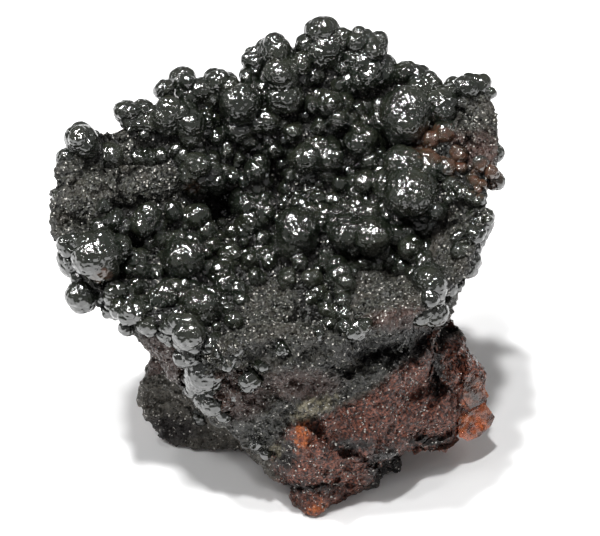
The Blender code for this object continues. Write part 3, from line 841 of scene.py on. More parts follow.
SWELLINGS = [
    (417, 353, 13, 7, 1.3), (437, 410, 18, 20, 1.2), (317, 406, 18, 9, 0.8),
    (302, 436, 10, 13, 1.0), (340, 319, 6, 10, 1.2), (346, 303, 5, 5, 1.0),
    (357, 312, 6, 9, 0.9), (284, 300, 24, 11, 1.0), (380, 300, 26, 24, 1.0),
    (236, 398, 18, 14, 0.9), (330, 455, 26, 16, 1.0), (380, 420, 20, 22, 0.8),
    (472, 367, 12, 10, 1.0), (128, 160, 16, 12, 1.0), (83, 141, 15, 13, 0.8),
    (179, 113, 13, 11, 0.8), (76, 200, 18, 14, 1.0), (142, 188, 22, 10, 1.0),
    (480, 128, 16, 20, 0.9), (470, 248, 14, 20, 0.8), (205, 352, 14, 9, 0.8),
    (300, 365, 22, 12, 0.8), (258, 420, 12, 14, 0.8),
]
CRACK_STRAY = (((1700, 900, 1300), (600, 2100, -1500)), 1.6)


def carve_landmarks(thing):
    """Push cracks in and swellings out along the sight lines."""
    places, normals = skin_points(thing)
    across, down = strayed(places, *CRACK_STRAY)
    push = np.zeros(len(places))
    for corners, width, depth in CRACKS:
        reach = line_distance(across, down, corners) / width
        push += depth * MM * np.exp(-reach * reach)
    for middle_across, middle_down, half_width, half_height, height in SWELLINGS:
        reach = np.hypot((across - middle_across) / half_width,
                         (down - middle_down) / half_height)
        push -= height * MM * np.clip(1.15 - reach ** 3, 0, 1)
    ways = places - np.array(EYE)
    ways /= np.sqrt((ways * ways).sum(axis=1))[:, None]
    move_skin(thing, places + ways * (push * side_seen(normals, 3))[:, None])


carve_landmarks(skin)
print("landmarks:", len(CRACKS), "cracks and", len(SWELLINGS), "swellings")

# %% [markdown]
# ## Weathering
# Broken goethite and ironstone are granular: grains of a few tenths of a millimetre stand
# out of a surface with shallow steps. Moving hundreds of thousands of points is a job for
# Geometry Nodes, which run in compiled code. Three patterns of different size push the
# skin along its normal, held back where knobs grow, and small domes swell on the apron
# where the crust is only beginning to bud.

# %% The weathering tree


def pattern_height(tree, start, place, label):
    """One pattern's height: its value about zero, times the input of its name."""
    scale = figure(tree, "DIVIDE", 1.0, start.outputs[label + " Size"])
    wires = {"Vector": place, "Scale": scale}
    if label == "Chip":
        pattern = add(tree, "ShaderNodeTexVoronoi", wires, feature="SMOOTH_F1")
        value = pattern.outputs["Distance"]
    else:
        value = add(tree, "ShaderNodeTexNoise", dict(wires, Detail=3.0)).outputs[0]
    centred = figure(tree, "SUBTRACT", value, 0.5)
    return figure(tree, "MULTIPLY", centred, start.outputs[label + " Height"])


def dome_heights(tree, start, place):
    """Small domes, side by side, where the mask for budding crust allows them."""
    scale = figure(tree, "DIVIDE", 1.0, start.outputs["Dome Size"])
    domes = add(tree, "ShaderNodeTexVoronoi", {"Vector": place, "Scale": scale})
    dome = figure(tree, "SUBTRACT", 0.6, domes.outputs["Distance"])
    height = figure(tree, "MULTIPLY", dome, start.outputs["Dome Height"])
    return figure(tree, "MULTIPLY", height, named(tree, "beaded"))


def weathering_tree():
    """A tree that roughens a skin with steps, chips, grains and domes."""
    labels = ("Step", "Chip", "Grain", "Dome")
    tree, start, end = new_tree("weathering", [
        (label + part, "Float") for label in labels for part in (" Size", " Height")
    ] + [("Material", "Material")])
    place = add(tree, "GeometryNodeInputPosition").outputs[0]
    total = pattern_height(tree, start, place, "Step")
    for label in ("Chip", "Grain"):
        total = figure(tree, "ADD", total, pattern_height(tree, start, place, label))
    bare = ramp(tree, named(tree, "knobby"), 0.0, 1.0, 1.0, 0.2)
    held = figure(tree, "MULTIPLY", total, bare)
    height = figure(tree, "ADD", held, dome_heights(tree, start, place))
    normal = add(tree, "GeometryNodeInputNormal").outputs[0]
    close_tree(tree, start, end, moved(tree, start.outputs["Geometry"], normal, height))
    return tree


WEATHERING = {
    "Step Size": 0.0052, "Step Height": 0.0040,
    "Chip Size": 0.0022, "Chip Height": 0.0013,
    "Grain Size": 0.0011, "Grain Height": 0.0016,
    "Dome Size": 0.0014, "Dome Height": 0.0024,
}
weathering = weathering_tree()
run_tree(skin, weathering, WEATHERING)
growth_masks(skin)
print("weathered skin:", triangles(skin), "triangles")

# %% [markdown]
# ## The join between crust and matrix
# The crust lies on the matrix along a bumpy surface. It climbs to the right along the
# front, and rises towards the back. Cutting the skin with a solid on each side of that
# surface gives two closed pieces that fit each other.

# %% Cut the rock in two
JOIN_LINE = [
    (-45, 5), (-10, 7), (-6, 12), (-2, 21), (4, 24), (8, 26.4), (16, 29.8), (28, 31.5),
    (45, 33),
]
JOIN_FRONT = -0.0205
JOIN_RISE_BACK = 0.40
JOIN_BUMP_HEIGHT = 0.0014
JOIN_BUMP_LENGTH = 0.014
FINE_BUMP_LENGTH = 0.2
FINE_BUMP_HEIGHT = 0.35
JOIN_REACH = 0.060
JOIN_CELLS = 90
HAIR = 0.00002
CUT_REACH = 0.12
FLOOR_BOX = 0.2


def join_height(x, y):
    """Height of the join between crust and matrix."""
    across = x / MM
    level = JOIN_LINE[0][1]
    for (start, low), (end, high) in zip(JOIN_LINE, JOIN_LINE[1:]):
        if across > start:
            level = low + (high - low) * min(1.0, (across - start) / (end - start))
    bump = noise.fractal(Vector((x, y, 0)) / JOIN_BUMP_LENGTH, 0.8, 2.0, 2)
    fine_length = JOIN_BUMP_LENGTH * FINE_BUMP_LENGTH
    fine = noise.fractal(Vector((x, y, 0.01)) / fine_length, 0.8, 2.0, 3)
    rise = JOIN_RISE_BACK * (y - JOIN_FRONT)
    return level * MM + rise + JOIN_BUMP_HEIGHT * (bump + FINE_BUMP_HEIGHT * fine)


def side_of_join(offset, far_height):
    """Everything on one side of the join, as a solid to cut with."""
    mesh = bmesh.new()
    step = 2 * JOIN_REACH / JOIN_CELLS
    rows = []
    for i in range(JOIN_CELLS + 1):
        x = -JOIN_REACH + i * step
        row = []
        for j in range(JOIN_CELLS + 1):
            y = -JOIN_REACH + j * step
            row.append(mesh.verts.new((x, y, join_height(x, y) + offset)))
        rows.append(row)
    for i in range(JOIN_CELLS):
        for j in range(JOIN_CELLS):
            mesh.faces.new((rows[i][j], rows[i + 1][j], rows[i + 1][j + 1], rows[i][j + 1]))
    lifted = bmesh.ops.extrude_face_region(mesh, geom=mesh.faces[:])
    for item in lifted["geom"]:
        if isinstance(item, bmesh.types.BMVert):
            item.co.z = far_height
    bmesh.ops.recalc_face_normals(mesh, faces=mesh.faces)
    return new_object("join_side", mesh)


def cut(thing, tool, operation):
    """Cut an object with another, or keep what they share, and drop the tool."""
    step = thing.modifiers.new("cut", "BOOLEAN")
    step.operation = operation
    step.solver = "MANIFOLD"
    step.object = tool
    fixed(thing)
    bpy.data.objects.remove(tool, do_unlink=True)


def floor_box():
    """Everything below the level that the specimen rests on."""
    mesh = bmesh.new()
    bmesh.ops.create_cube(mesh, size=FLOOR_BOX)
    bmesh.ops.translate(mesh, verts=mesh.verts, vec=(0, 0, -FLOOR_BOX / 2))
    return new_object("below_floor", mesh)


matrix_rock = bpy.data.objects.new("matrix_rock", skin.data.copy())
bpy.context.scene.collection.objects.link(matrix_rock)
crust_rock = skin
crust_rock.name = "crust_rock"
cut(crust_rock, side_of_join(HAIR, CUT_REACH), "INTERSECT")
cut(matrix_rock, side_of_join(-HAIR, -CUT_REACH), "INTERSECT")
cut(matrix_rock, floor_box(), "DIFFERENCE")
growth_masks(crust_rock)
print("crust:", triangles(crust_rock), "matrix:", triangles(matrix_rock))

# %% [markdown]
# ## Knobs on the hidden side
# The picture doesn't show the outer side of the rim. Goethite grows on over an edge, so
# knobs are strewn there too, smaller and fewer, down to where the matrix begins.

# %% Hidden knobs
HIDDEN_COUNT = 70
HIDDEN_RADII = (0.0014, 0.0030)
HIDDEN_LOW = 0.043
HIDDEN_SLOPE = 0.25
ABOVE_JOIN = 0.004
LEAST_UPWARD = -0.45
ROCK_COVER = 0.003


def out_of_sight(point):
    """Whether the rock hides a point from the viewer."""
    far = (point - EYE).length
    hit, _, _, reach = rock_tree.ray_cast(EYE, (point - EYE) / far)
    return hit is not None and reach < far - ROCK_COVER


def hidden_knobs(count, radii):
    """Knobs on the outer side of the rim, which the picture doesn't show."""
    chance = random.Random(41)
    outer = []
    for vert in body.verts:
        away = vert.normal.z > LEAST_UPWARD and out_of_sight(vert.co)
        high = max(HIDDEN_LOW + HIDDEN_SLOPE * vert.co.y,
                   join_height(vert.co.x, vert.co.y) + ABOVE_JOIN)
        if away and vert.co.z > high:
            outer.append(vert.co.copy())
    return [(chance.choice(outer), chance.uniform(*radii)) for _ in range(count)]


body.normal_update()
rim_knobs = hidden_knobs(HIDDEN_COUNT, HIDDEN_RADII)
print("hidden knobs:", len(rim_knobs))

# %% [markdown]
# ## The tree that grows a knob
# Its points carry their radius as an attribute. "Caps" says how many caps each knob gets,
# "Core" how large the ball in the middle is, "Cap Low" and "Cap High" how large the caps
# are against the knob, and "Reach" how far out a cap ends, so that large caps sit near the
# middle and small ones far out. "Fineness" says how round the balls are. The Mesh Boolean
# unites all that cross, and a last noise leaves no ball quite round.

# %% The knob tree
FULL_TURN = 6.3
UNEVEN_SCALE = 900.0


def knob_caps(tree, start, radius):
    """The caps of every knob, each a random way off its middle."""
    points = add(tree, "GeometryNodeMeshToPoints", {"Mesh": start.outputs["Geometry"]})
    copies = add(tree, "GeometryNodeDuplicateElements", {
        "Geometry": points.outputs[0], "Amount": start.outputs["Caps"]}, domain="POINT")
    way = add(tree, "FunctionNodeRandomValue", {
        "Min": (-1, -1, -0.8), "Max": (1, 1, 1), "Seed": start.outputs["Seed"]},
        data_type="FLOAT_VECTOR")
    unit = add(tree, "ShaderNodeVectorMath", {0: way.outputs[0]}, operation="NORMALIZE")
    share = between(tree, start.outputs["Cap Low"], start.outputs["Cap High"])
    reach = figure(tree, "SUBTRACT", start.outputs["Reach"], share)
    spread = moved(tree, copies.outputs[0], unit.outputs[0],
                   figure(tree, "MULTIPLY", radius, reach))
    turned = add(tree, "FunctionNodeRandomValue", {
        "Min": (0, 0, 0), "Max": (FULL_TURN,) * 3, "Seed": start.outputs["Seed"]},
        data_type="FLOAT_VECTOR")
    return add(tree, "GeometryNodeInstanceOnPoints", {
        "Points": spread, "Instance": ball(tree, start.outputs["Cap Fineness"]),
        "Rotation": turned.outputs[0],
        "Scale": figure(tree, "MULTIPLY", radius, share)}).outputs[0]


def knob_tree():
    """A tree that turns points with a radius into united knobs of several caps."""
    tree, start, end = new_tree("grown_knobs", [
        ("Caps", "Int"), ("Core", "Float"), ("Cap Low", "Float"), ("Cap High", "Float"),
        ("Reach", "Float"), ("Fineness", "Int"), ("Cap Fineness", "Int"),
        ("Unevenness", "Float"), ("Seed", "Int"), ("Material", "Material")])
    radius = named(tree, "knob_radius")
    core = add(tree, "GeometryNodeInstanceOnPoints", {
        "Points": start.outputs["Geometry"],
        "Instance": ball(tree, start.outputs["Fineness"]),
        "Scale": figure(tree, "MULTIPLY", radius, start.outputs["Core"])})
    both = tree.nodes.new("GeometryNodeJoinGeometry")
    tree.links.new(core.outputs[0], both.inputs[0])
    tree.links.new(knob_caps(tree, start, radius), both.inputs[0])
    pattern = add(tree, "ShaderNodeTexNoise", {"Scale": UNEVEN_SCALE, "Detail": 1.0})
    centred = figure(tree, "SUBTRACT", pattern.outputs[0], 0.5)
    height = figure(tree, "MULTIPLY", centred, start.outputs["Unevenness"])
    normal = add(tree, "GeometryNodeInputNormal").outputs[0]
    close_tree(tree, start, end,
               moved(tree, united(tree, both.outputs[0]), normal, height))
    return tree


knobs_tree = knob_tree()
print("knob tree:", len(knobs_tree.nodes), "nodes")

# %% [markdown]
# ### The groups of knobs
# Three habits show in the picture. The few great knobs are nearly round, the others on
# the lists are lobed like berries, and the satellites around them carry a bud or two. The
# low knobs of the apron and the hidden ones of the rim are lobed too. Each group is one
# object with its own seed, so that a group can be changed without moving the others.

# %% Grow the knobs


def point_cloud(name, knobs):
    """An object whose bare points carry the knobs' radii."""
    mesh = bmesh.new()
    for centre, _ in knobs:
        mesh.verts.new(centre)
    thing = new_object(name, mesh)
    store(thing, "knob_radius", np.array([radius for _, radius in knobs]))
    return thing


def grown(name, knobs, values, crease=28):
    """Knobs of one group, grown together, with their creases kept sharp."""
    thing = point_cloud(name, knobs)
    run_tree(thing, knobs_tree, values)
    sharp_creases(thing, crease)
    print(name, len(knobs), "knobs,", triangles(thing), "triangles")
    return thing


def by_size(knobs, limit):
    """Knobs of at least a certain radius, and the rest."""
    return ([knob for knob in knobs if knob[1] >= limit],
            [knob for knob in knobs if knob[1] < limit])


GREAT_KNOB = 21 * PIXEL
LARGE_KNOB = 12 * PIXEL
SMALL_CREASE = 42
APRON_CREASE = 36
ROUND = {"Caps": 5, "Core": 0.90, "Cap Low": 0.58, "Cap High": 0.84, "Reach": 1.08,
         "Fineness": 5, "Cap Fineness": 4, "Unevenness": 0.00030}
LOBED = {"Caps": 6, "Core": 0.85, "Cap Low": 0.50, "Cap High": 0.82, "Reach": 1.11,
         "Fineness": 4, "Cap Fineness": 4, "Unevenness": 0.00022}
BUDDED = {"Caps": 3, "Core": 0.90, "Cap Low": 0.55, "Cap High": 0.85, "Reach": 1.06,
          "Fineness": 3, "Cap Fineness": 2, "Unevenness": 0.00014}
large_back, small_back = by_size(back_knobs, LARGE_KNOB)
large_front, small_front = by_size(front_knobs, LARGE_KNOB)
great_back, large_back = by_size(large_back, GREAT_KNOB)
great_front, large_front = by_size(large_front, GREAT_KNOB)
knobs_great = grown("crust_knobs_great", great_back + great_front, dict(ROUND, Seed=4))
knobs_back = grown("crust_knobs_back", large_back, dict(LOBED, Seed=3))
knobs_front = grown("crust_knobs_front", large_front, dict(LOBED, Seed=5))
knobs_small = grown("crust_knobs_small", small_back + small_front,
                    dict(LOBED, Seed=6, Fineness=3, **{"Cap Fineness": 2}), SMALL_CREASE)
knobs_side = grown("crust_knobs_side", back_satellites + front_satellites,
                   dict(BUDDED, Seed=9), SMALL_CREASE)
knobs_apron = grown("crust_knobs_apron", apron_knobs,
                    dict(LOBED, Seed=7, Fineness=3, **{"Cap Fineness": 3}), APRON_CREASE)
knobs_rim = grown("crust_knobs_rim", rim_knobs,
                  dict(LOBED, Seed=8, Fineness=3, **{"Cap Fineness": 2}), SMALL_CREASE)

# %% [markdown]
# ## Beads between the knobs
# The bowl is covered all over: between the large knobs sit smaller ones, down to beads
# little more than a millimetre across. They follow no list. A tree strews points over the
# crust where a mask allows it, keeps them apart, and turns each into a small ball.

# %% The bead tree


def bead_tree():
    """A tree that strews beads over a masked skin and unites them."""
    tree, start, end = new_tree("strewn_beads", [
        ("Apart", "Float"), ("Density", "Float"), ("Radius Low", "Float"),
        ("Radius High", "Float"), ("Sink", "Float"), ("Fineness", "Int"), ("Seed", "Int"),
        ("Material", "Material")])
    points = add(tree, "GeometryNodeDistributePointsOnFaces", {
        "Mesh": start.outputs["Geometry"], "Distance Min": start.outputs["Apart"],
        "Density Max": start.outputs["Density"],
        "Density Factor": named(tree, "bead_mask"),
        "Seed": start.outputs["Seed"]}, distribute_method="POISSON")
    size = between(tree, start.outputs["Radius Low"], start.outputs["Radius High"])
    drop = figure(tree, "MULTIPLY", size, start.outputs["Sink"])
    beads = add(tree, "GeometryNodeInstanceOnPoints", {
        "Points": moved(tree, points.outputs["Points"], points.outputs["Normal"], drop),
        "Instance": ball(tree, start.outputs["Fineness"]),
        "Rotation": points.outputs["Rotation"], "Scale": size})
    close_tree(tree, start, end, united(tree, beads.outputs[0]))
    return tree


beads_tree = bead_tree()
print("bead tree:", len(beads_tree.nodes), "nodes")

# %% Strew the beads
KNOB_CLEARANCE = 0.0006


def strewn(name, mask_name, values, crease=30):
    """Beads on the crust where a mask allows them and no large knob stands."""
    thing = bpy.data.objects.new(name, crust_rock.data.copy())
    bpy.context.scene.collection.objects.link(thing)
    places, _ = skin_points(thing)
    clear = distance_to_knobs(places, back_knobs + front_knobs) / KNOB_CLEARANCE
    clear = np.clip(clear, 0, 1)
    store(thing, "bead_mask", np.clip(stored(thing, mask_name) * 1.6 - 0.6, 0, 1) * clear)
    run_tree(thing, beads_tree, values)
    sharp_creases(thing, crease)
    print(name, triangles(thing), "triangles")
    return thing


beads_large = strewn("crust_beads_large", "knobby", {
    "Apart": 0.0019, "Density": 260000.0, "Radius Low": 0.0010, "Radius High": 0.0019,
    "Sink": -0.40, "Fineness": 3, "Seed": 11})
beads_small = strewn("crust_beads_small", "knobby", {
    "Apart": 0.0022, "Density": 160000.0, "Radius Low": 0.0006, "Radius High": 0.0011,
    "Sink": -0.1, "Fineness": 2, "Seed": 12}, SMALL_CREASE)

# %% [markdown]
# ## Orange crystals
# The crystals at the right end are two flat-faced blocks grown into one another. A convex
# hull gives each its clean faces, a narrow bevel takes the razor edge off, and the
# Boolean unites them.

# %% Crystals
CRYSTAL_BLOCK = (
    [(470, 408, -5.5), (485, 403, -4.5), (495, 417, -5), (491, 426, -6), (479, 437, -8),
     (468, 441, -9), (459, 437, -9.5), (458, 420, -8)],
    [(28.5, 0, 9), (31.5, 0.5, 11), (27, -2, 15)],
)
CRYSTAL_WEDGE = (
    [(469, 371, -5), (480, 379, -4.5), (489, 396, -5), (482, 404, -6.5), (470, 409, -7.5),
     (463, 398, -7.5), (464, 383, -6.5)],
    [(29, 1, 17), (31.5, 1, 15), (28, -1, 13)],
)
CRYSTAL_EDGE = 0.00012

crystals = new_object("crystal_pair", spanned_block(CRYSTAL_BLOCK))
cut(crystals, new_object("crystal_wedge", spanned_block(CRYSTAL_WEDGE)), "UNION")
rounding = crystals.modifiers.new("edges", "BEVEL")
rounding.width = CRYSTAL_EDGE
rounding.segments = 2
rounding.limit_method = "ANGLE"
fixed(crystals)
print("crystals:", triangles(crystals), "triangles")

# %% [markdown]
# ## Finishes
# Each finish is a node material on Object coordinates, so it stays with the stone when
# the camera moves. A few helpers keep the node code short.

# %% Material helpers
NOISE_ROUGHNESS = 0.55


def new_material(name):
    """A node material with its Principled shader."""
    material = bpy.data.materials.new(name)
    material.use_nodes = True
    return material, material.node_tree, material.node_tree.nodes["Principled BSDF"]


def noise_value(tree, size, detail=3.0):
    """A noise of a given grain size on Object coordinates."""
    place = add(tree, "ShaderNodeTexCoord").outputs["Object"]
    return add(tree, "ShaderNodeTexNoise", {
        "Vector": place, "Scale": 1 / size, "Detail": detail,
        "Roughness": NOISE_ROUGHNESS}).outputs[0]


def cells(tree, size, output="Color", feature="F1"):
    """Cells of a given size on Object coordinates: their random colour, or their domes."""
    place = add(tree, "ShaderNodeTexCoord").outputs["Object"]
    return add(tree, "ShaderNodeTexVoronoi", {"Vector": place, "Scale": 1 / size},
               feature=feature).outputs[output]


def facets(tree, size):
    """A height that gives every cell of a given size its own tilt."""
    place = add(tree, "ShaderNodeTexCoord").outputs["Object"]
    pattern = add(tree, "ShaderNodeTexVoronoi", {"Vector": place, "Scale": 1 / size})
    local = add(tree, "ShaderNodeVectorMath", {
        0: stretched(tree, place, 1 / size),
        1: stretched(tree, pattern.outputs["Position"], 1 / size)}, operation="SUBTRACT")
    tilt = add(tree, "ShaderNodeVectorMath", {
        0: pattern.outputs["Color"], 1: (0.5, 0.5, 0.5)}, operation="SUBTRACT")
    return add(tree, "ShaderNodeVectorMath", {
        0: local.outputs[0], 1: tilt.outputs[0]}, operation="DOT_PRODUCT").outputs["Value"]


def blended(tree, share, first, second):
    """A mix of two colours."""
    node = add(tree, "ShaderNodeMix", data_type="RGBA")
    for socket, source in ((node.inputs["Factor"], share), (node.inputs[6], first),
                           (node.inputs[7], second)):
        if isinstance(source, bpy.types.NodeSocket):
            tree.links.new(source, socket)
        elif isinstance(source, tuple):
            socket.default_value = (*source, 1.0)
        else:
            socket.default_value = source
    return node.outputs[2]


def mask(tree, name):
    """A painted mask."""
    return add(tree, "ShaderNodeAttribute", attribute_name=name).outputs["Fac"]


def bumped(tree, height, distance, strength=1.0, normal=None):
    """A surface normal bent by a height."""
    wires = {"Height": height, "Distance": distance, "Strength": strength}
    if normal is not None:
        wires["Normal"] = normal
    return add(tree, "ShaderNodeBump", wires).outputs[0]


print("material helpers ready")

# %% [markdown]
# ### Glossy goethite
# The knobs are near-black and shine almost like metal, because goethite bends light
# strongly. Their skin is finely hammered, which breaks every highlight into a cluster of
# sparks. A high index of refraction and a low roughness give the shine, and a bump of
# small round cells the sparks. Where iron oxide stained them they turn brown.

# %% Glossy goethite
STAINED_PATCHES = [
    (437, 143, 17, 13), (193, 187, 7, 4), (104, 275, 8, 4), (485, 178, 12, 14),
    (458, 160, 10, 10),
]
GOETHITE_INDEX = 1.95
HAMMER_SIZE = 0.00075
HAMMER_DEPTH = 0.00034


def glossy_goethite():
    """Near-black, hammered and shiny."""
    material, tree, shader = new_material("glossy_goethite")
    cloud = ramp(tree, noise_value(tree, 0.006), 0.45, 0.7)
    dark = blended(tree, cloud, (0.0055, 0.0070, 0.0045), (0.014, 0.0155, 0.010))
    stain = blended(tree, noise_value(tree, 0.0012), (0.062, 0.019, 0.011),
                    (0.030, 0.026, 0.014))
    tree.links.new(blended(tree, mask(tree, "stain"), dark, stain),
                   shader.inputs["Base Color"])
    rough = ramp(tree, noise_value(tree, 0.0009), 0.35, 0.75, 0.07, 0.19)
    tree.links.new(rough, shader.inputs["Roughness"])
    shader.inputs["IOR"].default_value = GOETHITE_INDEX
    wavy = bumped(tree, noise_value(tree, 0.0012, 1.0), 0.00018, 1.0)
    domes = cells(tree, HAMMER_SIZE, "Distance", "SMOOTH_F1")
    hammered = bumped(tree, domes, -HAMMER_DEPTH, 1.0, wavy)
    tree.links.new(hammered, shader.inputs["Normal"])
    return material


GLOSSY = glossy_goethite()
print("made", GLOSSY.name)

# %% [markdown]
# ### Broken goethite and ironstone
# Broken faces are dull and granular, but each grain is a tiny crystal, and here and there
# one catches a lamp. Every cell of a fine pattern gets its own tilt, which bends the light
# grain by grain, and a share of the cells is polished. A finer pattern paints pale glints
# into the colour: painted highlights, bright from any side. Both rocks have this structure,
# so one function makes both, and they differ in their colours and in how coarse and how
# polished they are.

# %% Broken goethite and ironstone
# Painted highlights: pale grains mixed into the base colour, bright under any light.
PAINTED_GLINT_SIZE = 0.00025
PAINTED_GLINT_FROM = 0.87
PAINTED_GLINT_COLOUR = (0.50, 0.48, 0.44)
ROCK_INDEX = 1.5


def granular(name, colour, roughness_range, grain_size, grain_height, spark_share):
    """A granular broken surface with painted glints in its colour."""
    material, tree, shader = new_material(name)
    # painted highlight: the rarest cells take the pale glint colour
    painted_glint = ramp(tree, cells(tree, PAINTED_GLINT_SIZE), PAINTED_GLINT_FROM, PAINTED_GLINT_FROM + 0.01)
    tree.links.new(blended(tree, painted_glint, colour(tree), PAINTED_GLINT_COLOUR),
                   shader.inputs["Base Color"])
    spark = ramp(tree, cells(tree, grain_size), 1 - spark_share, 1.02 - spark_share)
    polished = figure(tree, "MAXIMUM", spark, mask(tree, "polished"))
    tree.links.new(ramp(tree, polished, 0.0, 1.0, roughness_range[1], roughness_range[0]),
                   shader.inputs["Roughness"])
    shader.inputs["IOR"].default_value = ROCK_INDEX
    coarse = bumped(tree, noise_value(tree, grain_size * 3.2, 4.0), grain_height * 2.2, 0.9)
    grains = bumped(tree, facets(tree, grain_size), grain_height, 1.0, coarse)
    tree.links.new(grains, shader.inputs["Normal"])
    return material


def flecked(tree, under):
    """Ochre flakes and orange spots over another colour, broken into grains."""
    fleck = ramp(tree, noise_value(tree, 0.0010, 3.0), 0.40, 0.56)
    ochre = blended(tree, fleck, (0.030, 0.026, 0.017), (0.180, 0.160, 0.105))
    pale = blended(tree, mask(tree, "ochre"), under, ochre)
    orange = blended(tree, fleck, (0.110, 0.024, 0.010), (0.400, 0.105, 0.024))
    return blended(tree, mask(tree, "orange"), pale, orange)


def crust_colour(tree):
    """Grey-black with an olive tinge, red where iron oxide stained it, and near-black
    painted shade in its cracks and hollows.
    """
    speck = noise_value(tree, 0.0006, 2.0)
    grey = blended(tree, ramp(tree, speck, 0.40, 0.68), (0.005, 0.005, 0.004),
                   (0.050, 0.050, 0.040))
    brown = blended(tree, ramp(tree, noise_value(tree, 0.005), 0.5, 0.68, 0, 0.5), grey,
                    (0.036, 0.029, 0.022))
    stained = blended(tree, figure(tree, "MULTIPLY", mask(tree, "stain"), 0.6), brown,
                      (0.062, 0.028, 0.022))
    red = blended(tree, mask(tree, "red"), stained, matrix_red(tree))
    # painted shade: near-black where the dark mask marks cracks and hollows
    deep = blended(tree, mask(tree, "dark"), flecked(tree, red), (0.006, 0.006, 0.005))
    return blended(tree, mask(tree, "knobby"), deep, (0.007, 0.007, 0.006))


def matrix_red(tree):
    """Red-brown grains with dark gaps and darker veins."""
    grain = ramp(tree, noise_value(tree, 0.0005, 2.0), 0.42, 0.66)
    red = blended(tree, grain, (0.022, 0.007, 0.005), (0.250, 0.084, 0.052))
    vein = ramp(tree, noise_value(tree, 0.004, 4.0), 0.54, 0.66, 0, 0.5)
    return blended(tree, vein, red, (0.040, 0.018, 0.013))


def matrix_colour(tree):
    """Red-brown inside its outline, brown-black on the slab, orange and ochre in spots,
    black on the glossy foot, and near-black painted shade in cracks and hollows.
    """
    speck = ramp(tree, noise_value(tree, 0.0007, 3.0), 0.3, 0.7)
    slab = blended(tree, speck, (0.020, 0.019, 0.015), (0.092, 0.082, 0.066))
    veined = blended(tree, mask(tree, "red"), slab, matrix_red(tree))
    # near-black: painted shade in cracks and hollows, and the real black of the glossy foot
    dark = blended(tree, mask(tree, "dark"), veined, (0.010, 0.007, 0.006))
    return flecked(tree, dark)


BROKEN = granular("broken_goethite", crust_colour, (0.12, 0.50), 0.00045, 0.00070, 0.40)
IRONSTONE = granular("red_ironstone", matrix_colour, (0.12, 0.70), 0.00048, 0.00065, 0.30)
print("made", BROKEN.name, "and", IRONSTONE.name)

# %% [markdown]
# ### Crystal
# The crystals let light through and swallow all but the orange on the way. That is
# transmission with absorption in the volume, not an orange paint. Rusty dust lies on them
# in patches, and dims the tint there, and a mask turns the top of the block and a spot on
# the wedge dark brown.

# %% Crystal
CRYSTAL_INDEX = 1.60
CLEAR_SHARE = 0.75
ABSORPTION_COLOUR = (0.95, 0.34, 0.08, 1)
ABSORPTION_DENSITY = 300.0


def orange_crystal():
    """Clear orange with dusty patches and faint steps."""
    material, tree, shader = new_material("clear_orange")
    dusty = ramp(tree, noise_value(tree, 0.0022, 4.0), 0.42, 0.60)
    tint = blended(tree, dusty, (0.85, 0.22, 0.05), (0.17, 0.050, 0.022))
    # dark brown where the dark mask lies: the top of the block and a spot on the wedge
    tree.links.new(blended(tree, mask(tree, "dark"), tint, (0.060, 0.030, 0.020)),
                   shader.inputs["Base Color"])
    shader.inputs["Transmission Weight"].default_value = CLEAR_SHARE
    shader.inputs["IOR"].default_value = CRYSTAL_INDEX
    rough = ramp(tree, noise_value(tree, 0.0009, 3.0), 0.4, 0.65, 0.05, 0.28)
    tree.links.new(rough, shader.inputs["Roughness"])
    cloudy = bumped(tree, noise_value(tree, 0.0012), 0.0004, 0.8)
    stepped = bumped(tree, facets(tree, 0.0016), 0.0004, 0.8, cloudy)
    tree.links.new(stepped, shader.inputs["Normal"])
    depth = add(tree, "ShaderNodeVolumeAbsorption")
    depth.inputs["Color"].default_value = ABSORPTION_COLOUR
    depth.inputs["Density"].default_value = ABSORPTION_DENSITY
    tree.links.new(depth.outputs[0], tree.nodes["Material Output"].inputs["Volume"])
    return material


CRYSTAL = orange_crystal()
print("made", CRYSTAL.name)

# %% [markdown]
# ## Paint the masks and dress the pieces
# Stains, flakes, the black of the glossy foot and painted shade in cracks and hollows are
# soft ellipses again, and the red of the matrix has an outline of its own. Only the side
# that is seen takes them: behind, the whole matrix is red and the whole crust dark. All
# edges stray a little, as weathering leaves them.

# %% Where the colours lie
RED_OUTLINE = [
    (458, 335), (422, 348), (406, 360), (391, 376), (366, 396), (343, 406), (320, 418),
    (290, 425), (270, 455), (286, 500), (315, 530), (350, 500), (385, 475), (440, 458),
    (505, 440), (505, 375), (475, 345), (458, 335),
]
RED_SOFTNESS = 3
PURPLE_PATCHES = [
    (235, 395, 22, 16), (300, 385, 26, 10), (410, 320, 28, 8), (160, 362, 16, 22),
    (440, 330, 20, 8), (483, 165, 12, 22), (458, 150, 14, 12),
]
# Painted shade in cracks, grooves and hollows, and the real black of the glossy foot at
# (388, 468).
SHADE_AND_BLACK_PATCHES = [
    (437, 372, 5, 20), (428, 441, 18, 4), (388, 468, 16, 18), (308, 487, 26, 3),
    (350, 445, 18, 4), (285, 455, 8, 14), (385, 352, 34, 9), (325, 306, 12, 9),
    (213, 327, 12, 9), (165, 430, 24, 10), (425, 336, 20, 7),
]
OCHRE_PATCHES = [(317, 406, 13, 6), (276, 451, 5, 6), (302, 416, 10, 4), (328, 399, 8, 4)]
POLISHED_PATCHES = [(388, 468, 18, 18), (470, 370, 22, 16)]
ORANGE_PATCHES = [(303, 436, 7, 11), (315, 509, 8, 5), (474, 403, 8, 4), (470, 438, 8, 3)]
# Dark brown patches: the top of the crystal block and a spot on the wedge.
CRYSTAL_DARK_PATCHES = [(479, 408, 11, 5), (466, 380, 5, 8)]
MASK_STRAY = (((2300, 3100, 2700), (5200, -4100, 900)), 2.0)
print("red outline:", len(RED_OUTLINE), "corners")

# %% Paint and dress


def paint(thing, name, patches, softness=0.5):
    """Store one mask of soft ellipses on the side that is seen."""
    places, normals = skin_points(thing)
    inside = ellipses(*strayed(places, *MASK_STRAY), patches, softness)
    store(thing, name, inside * side_seen(normals, 4, 0.4))


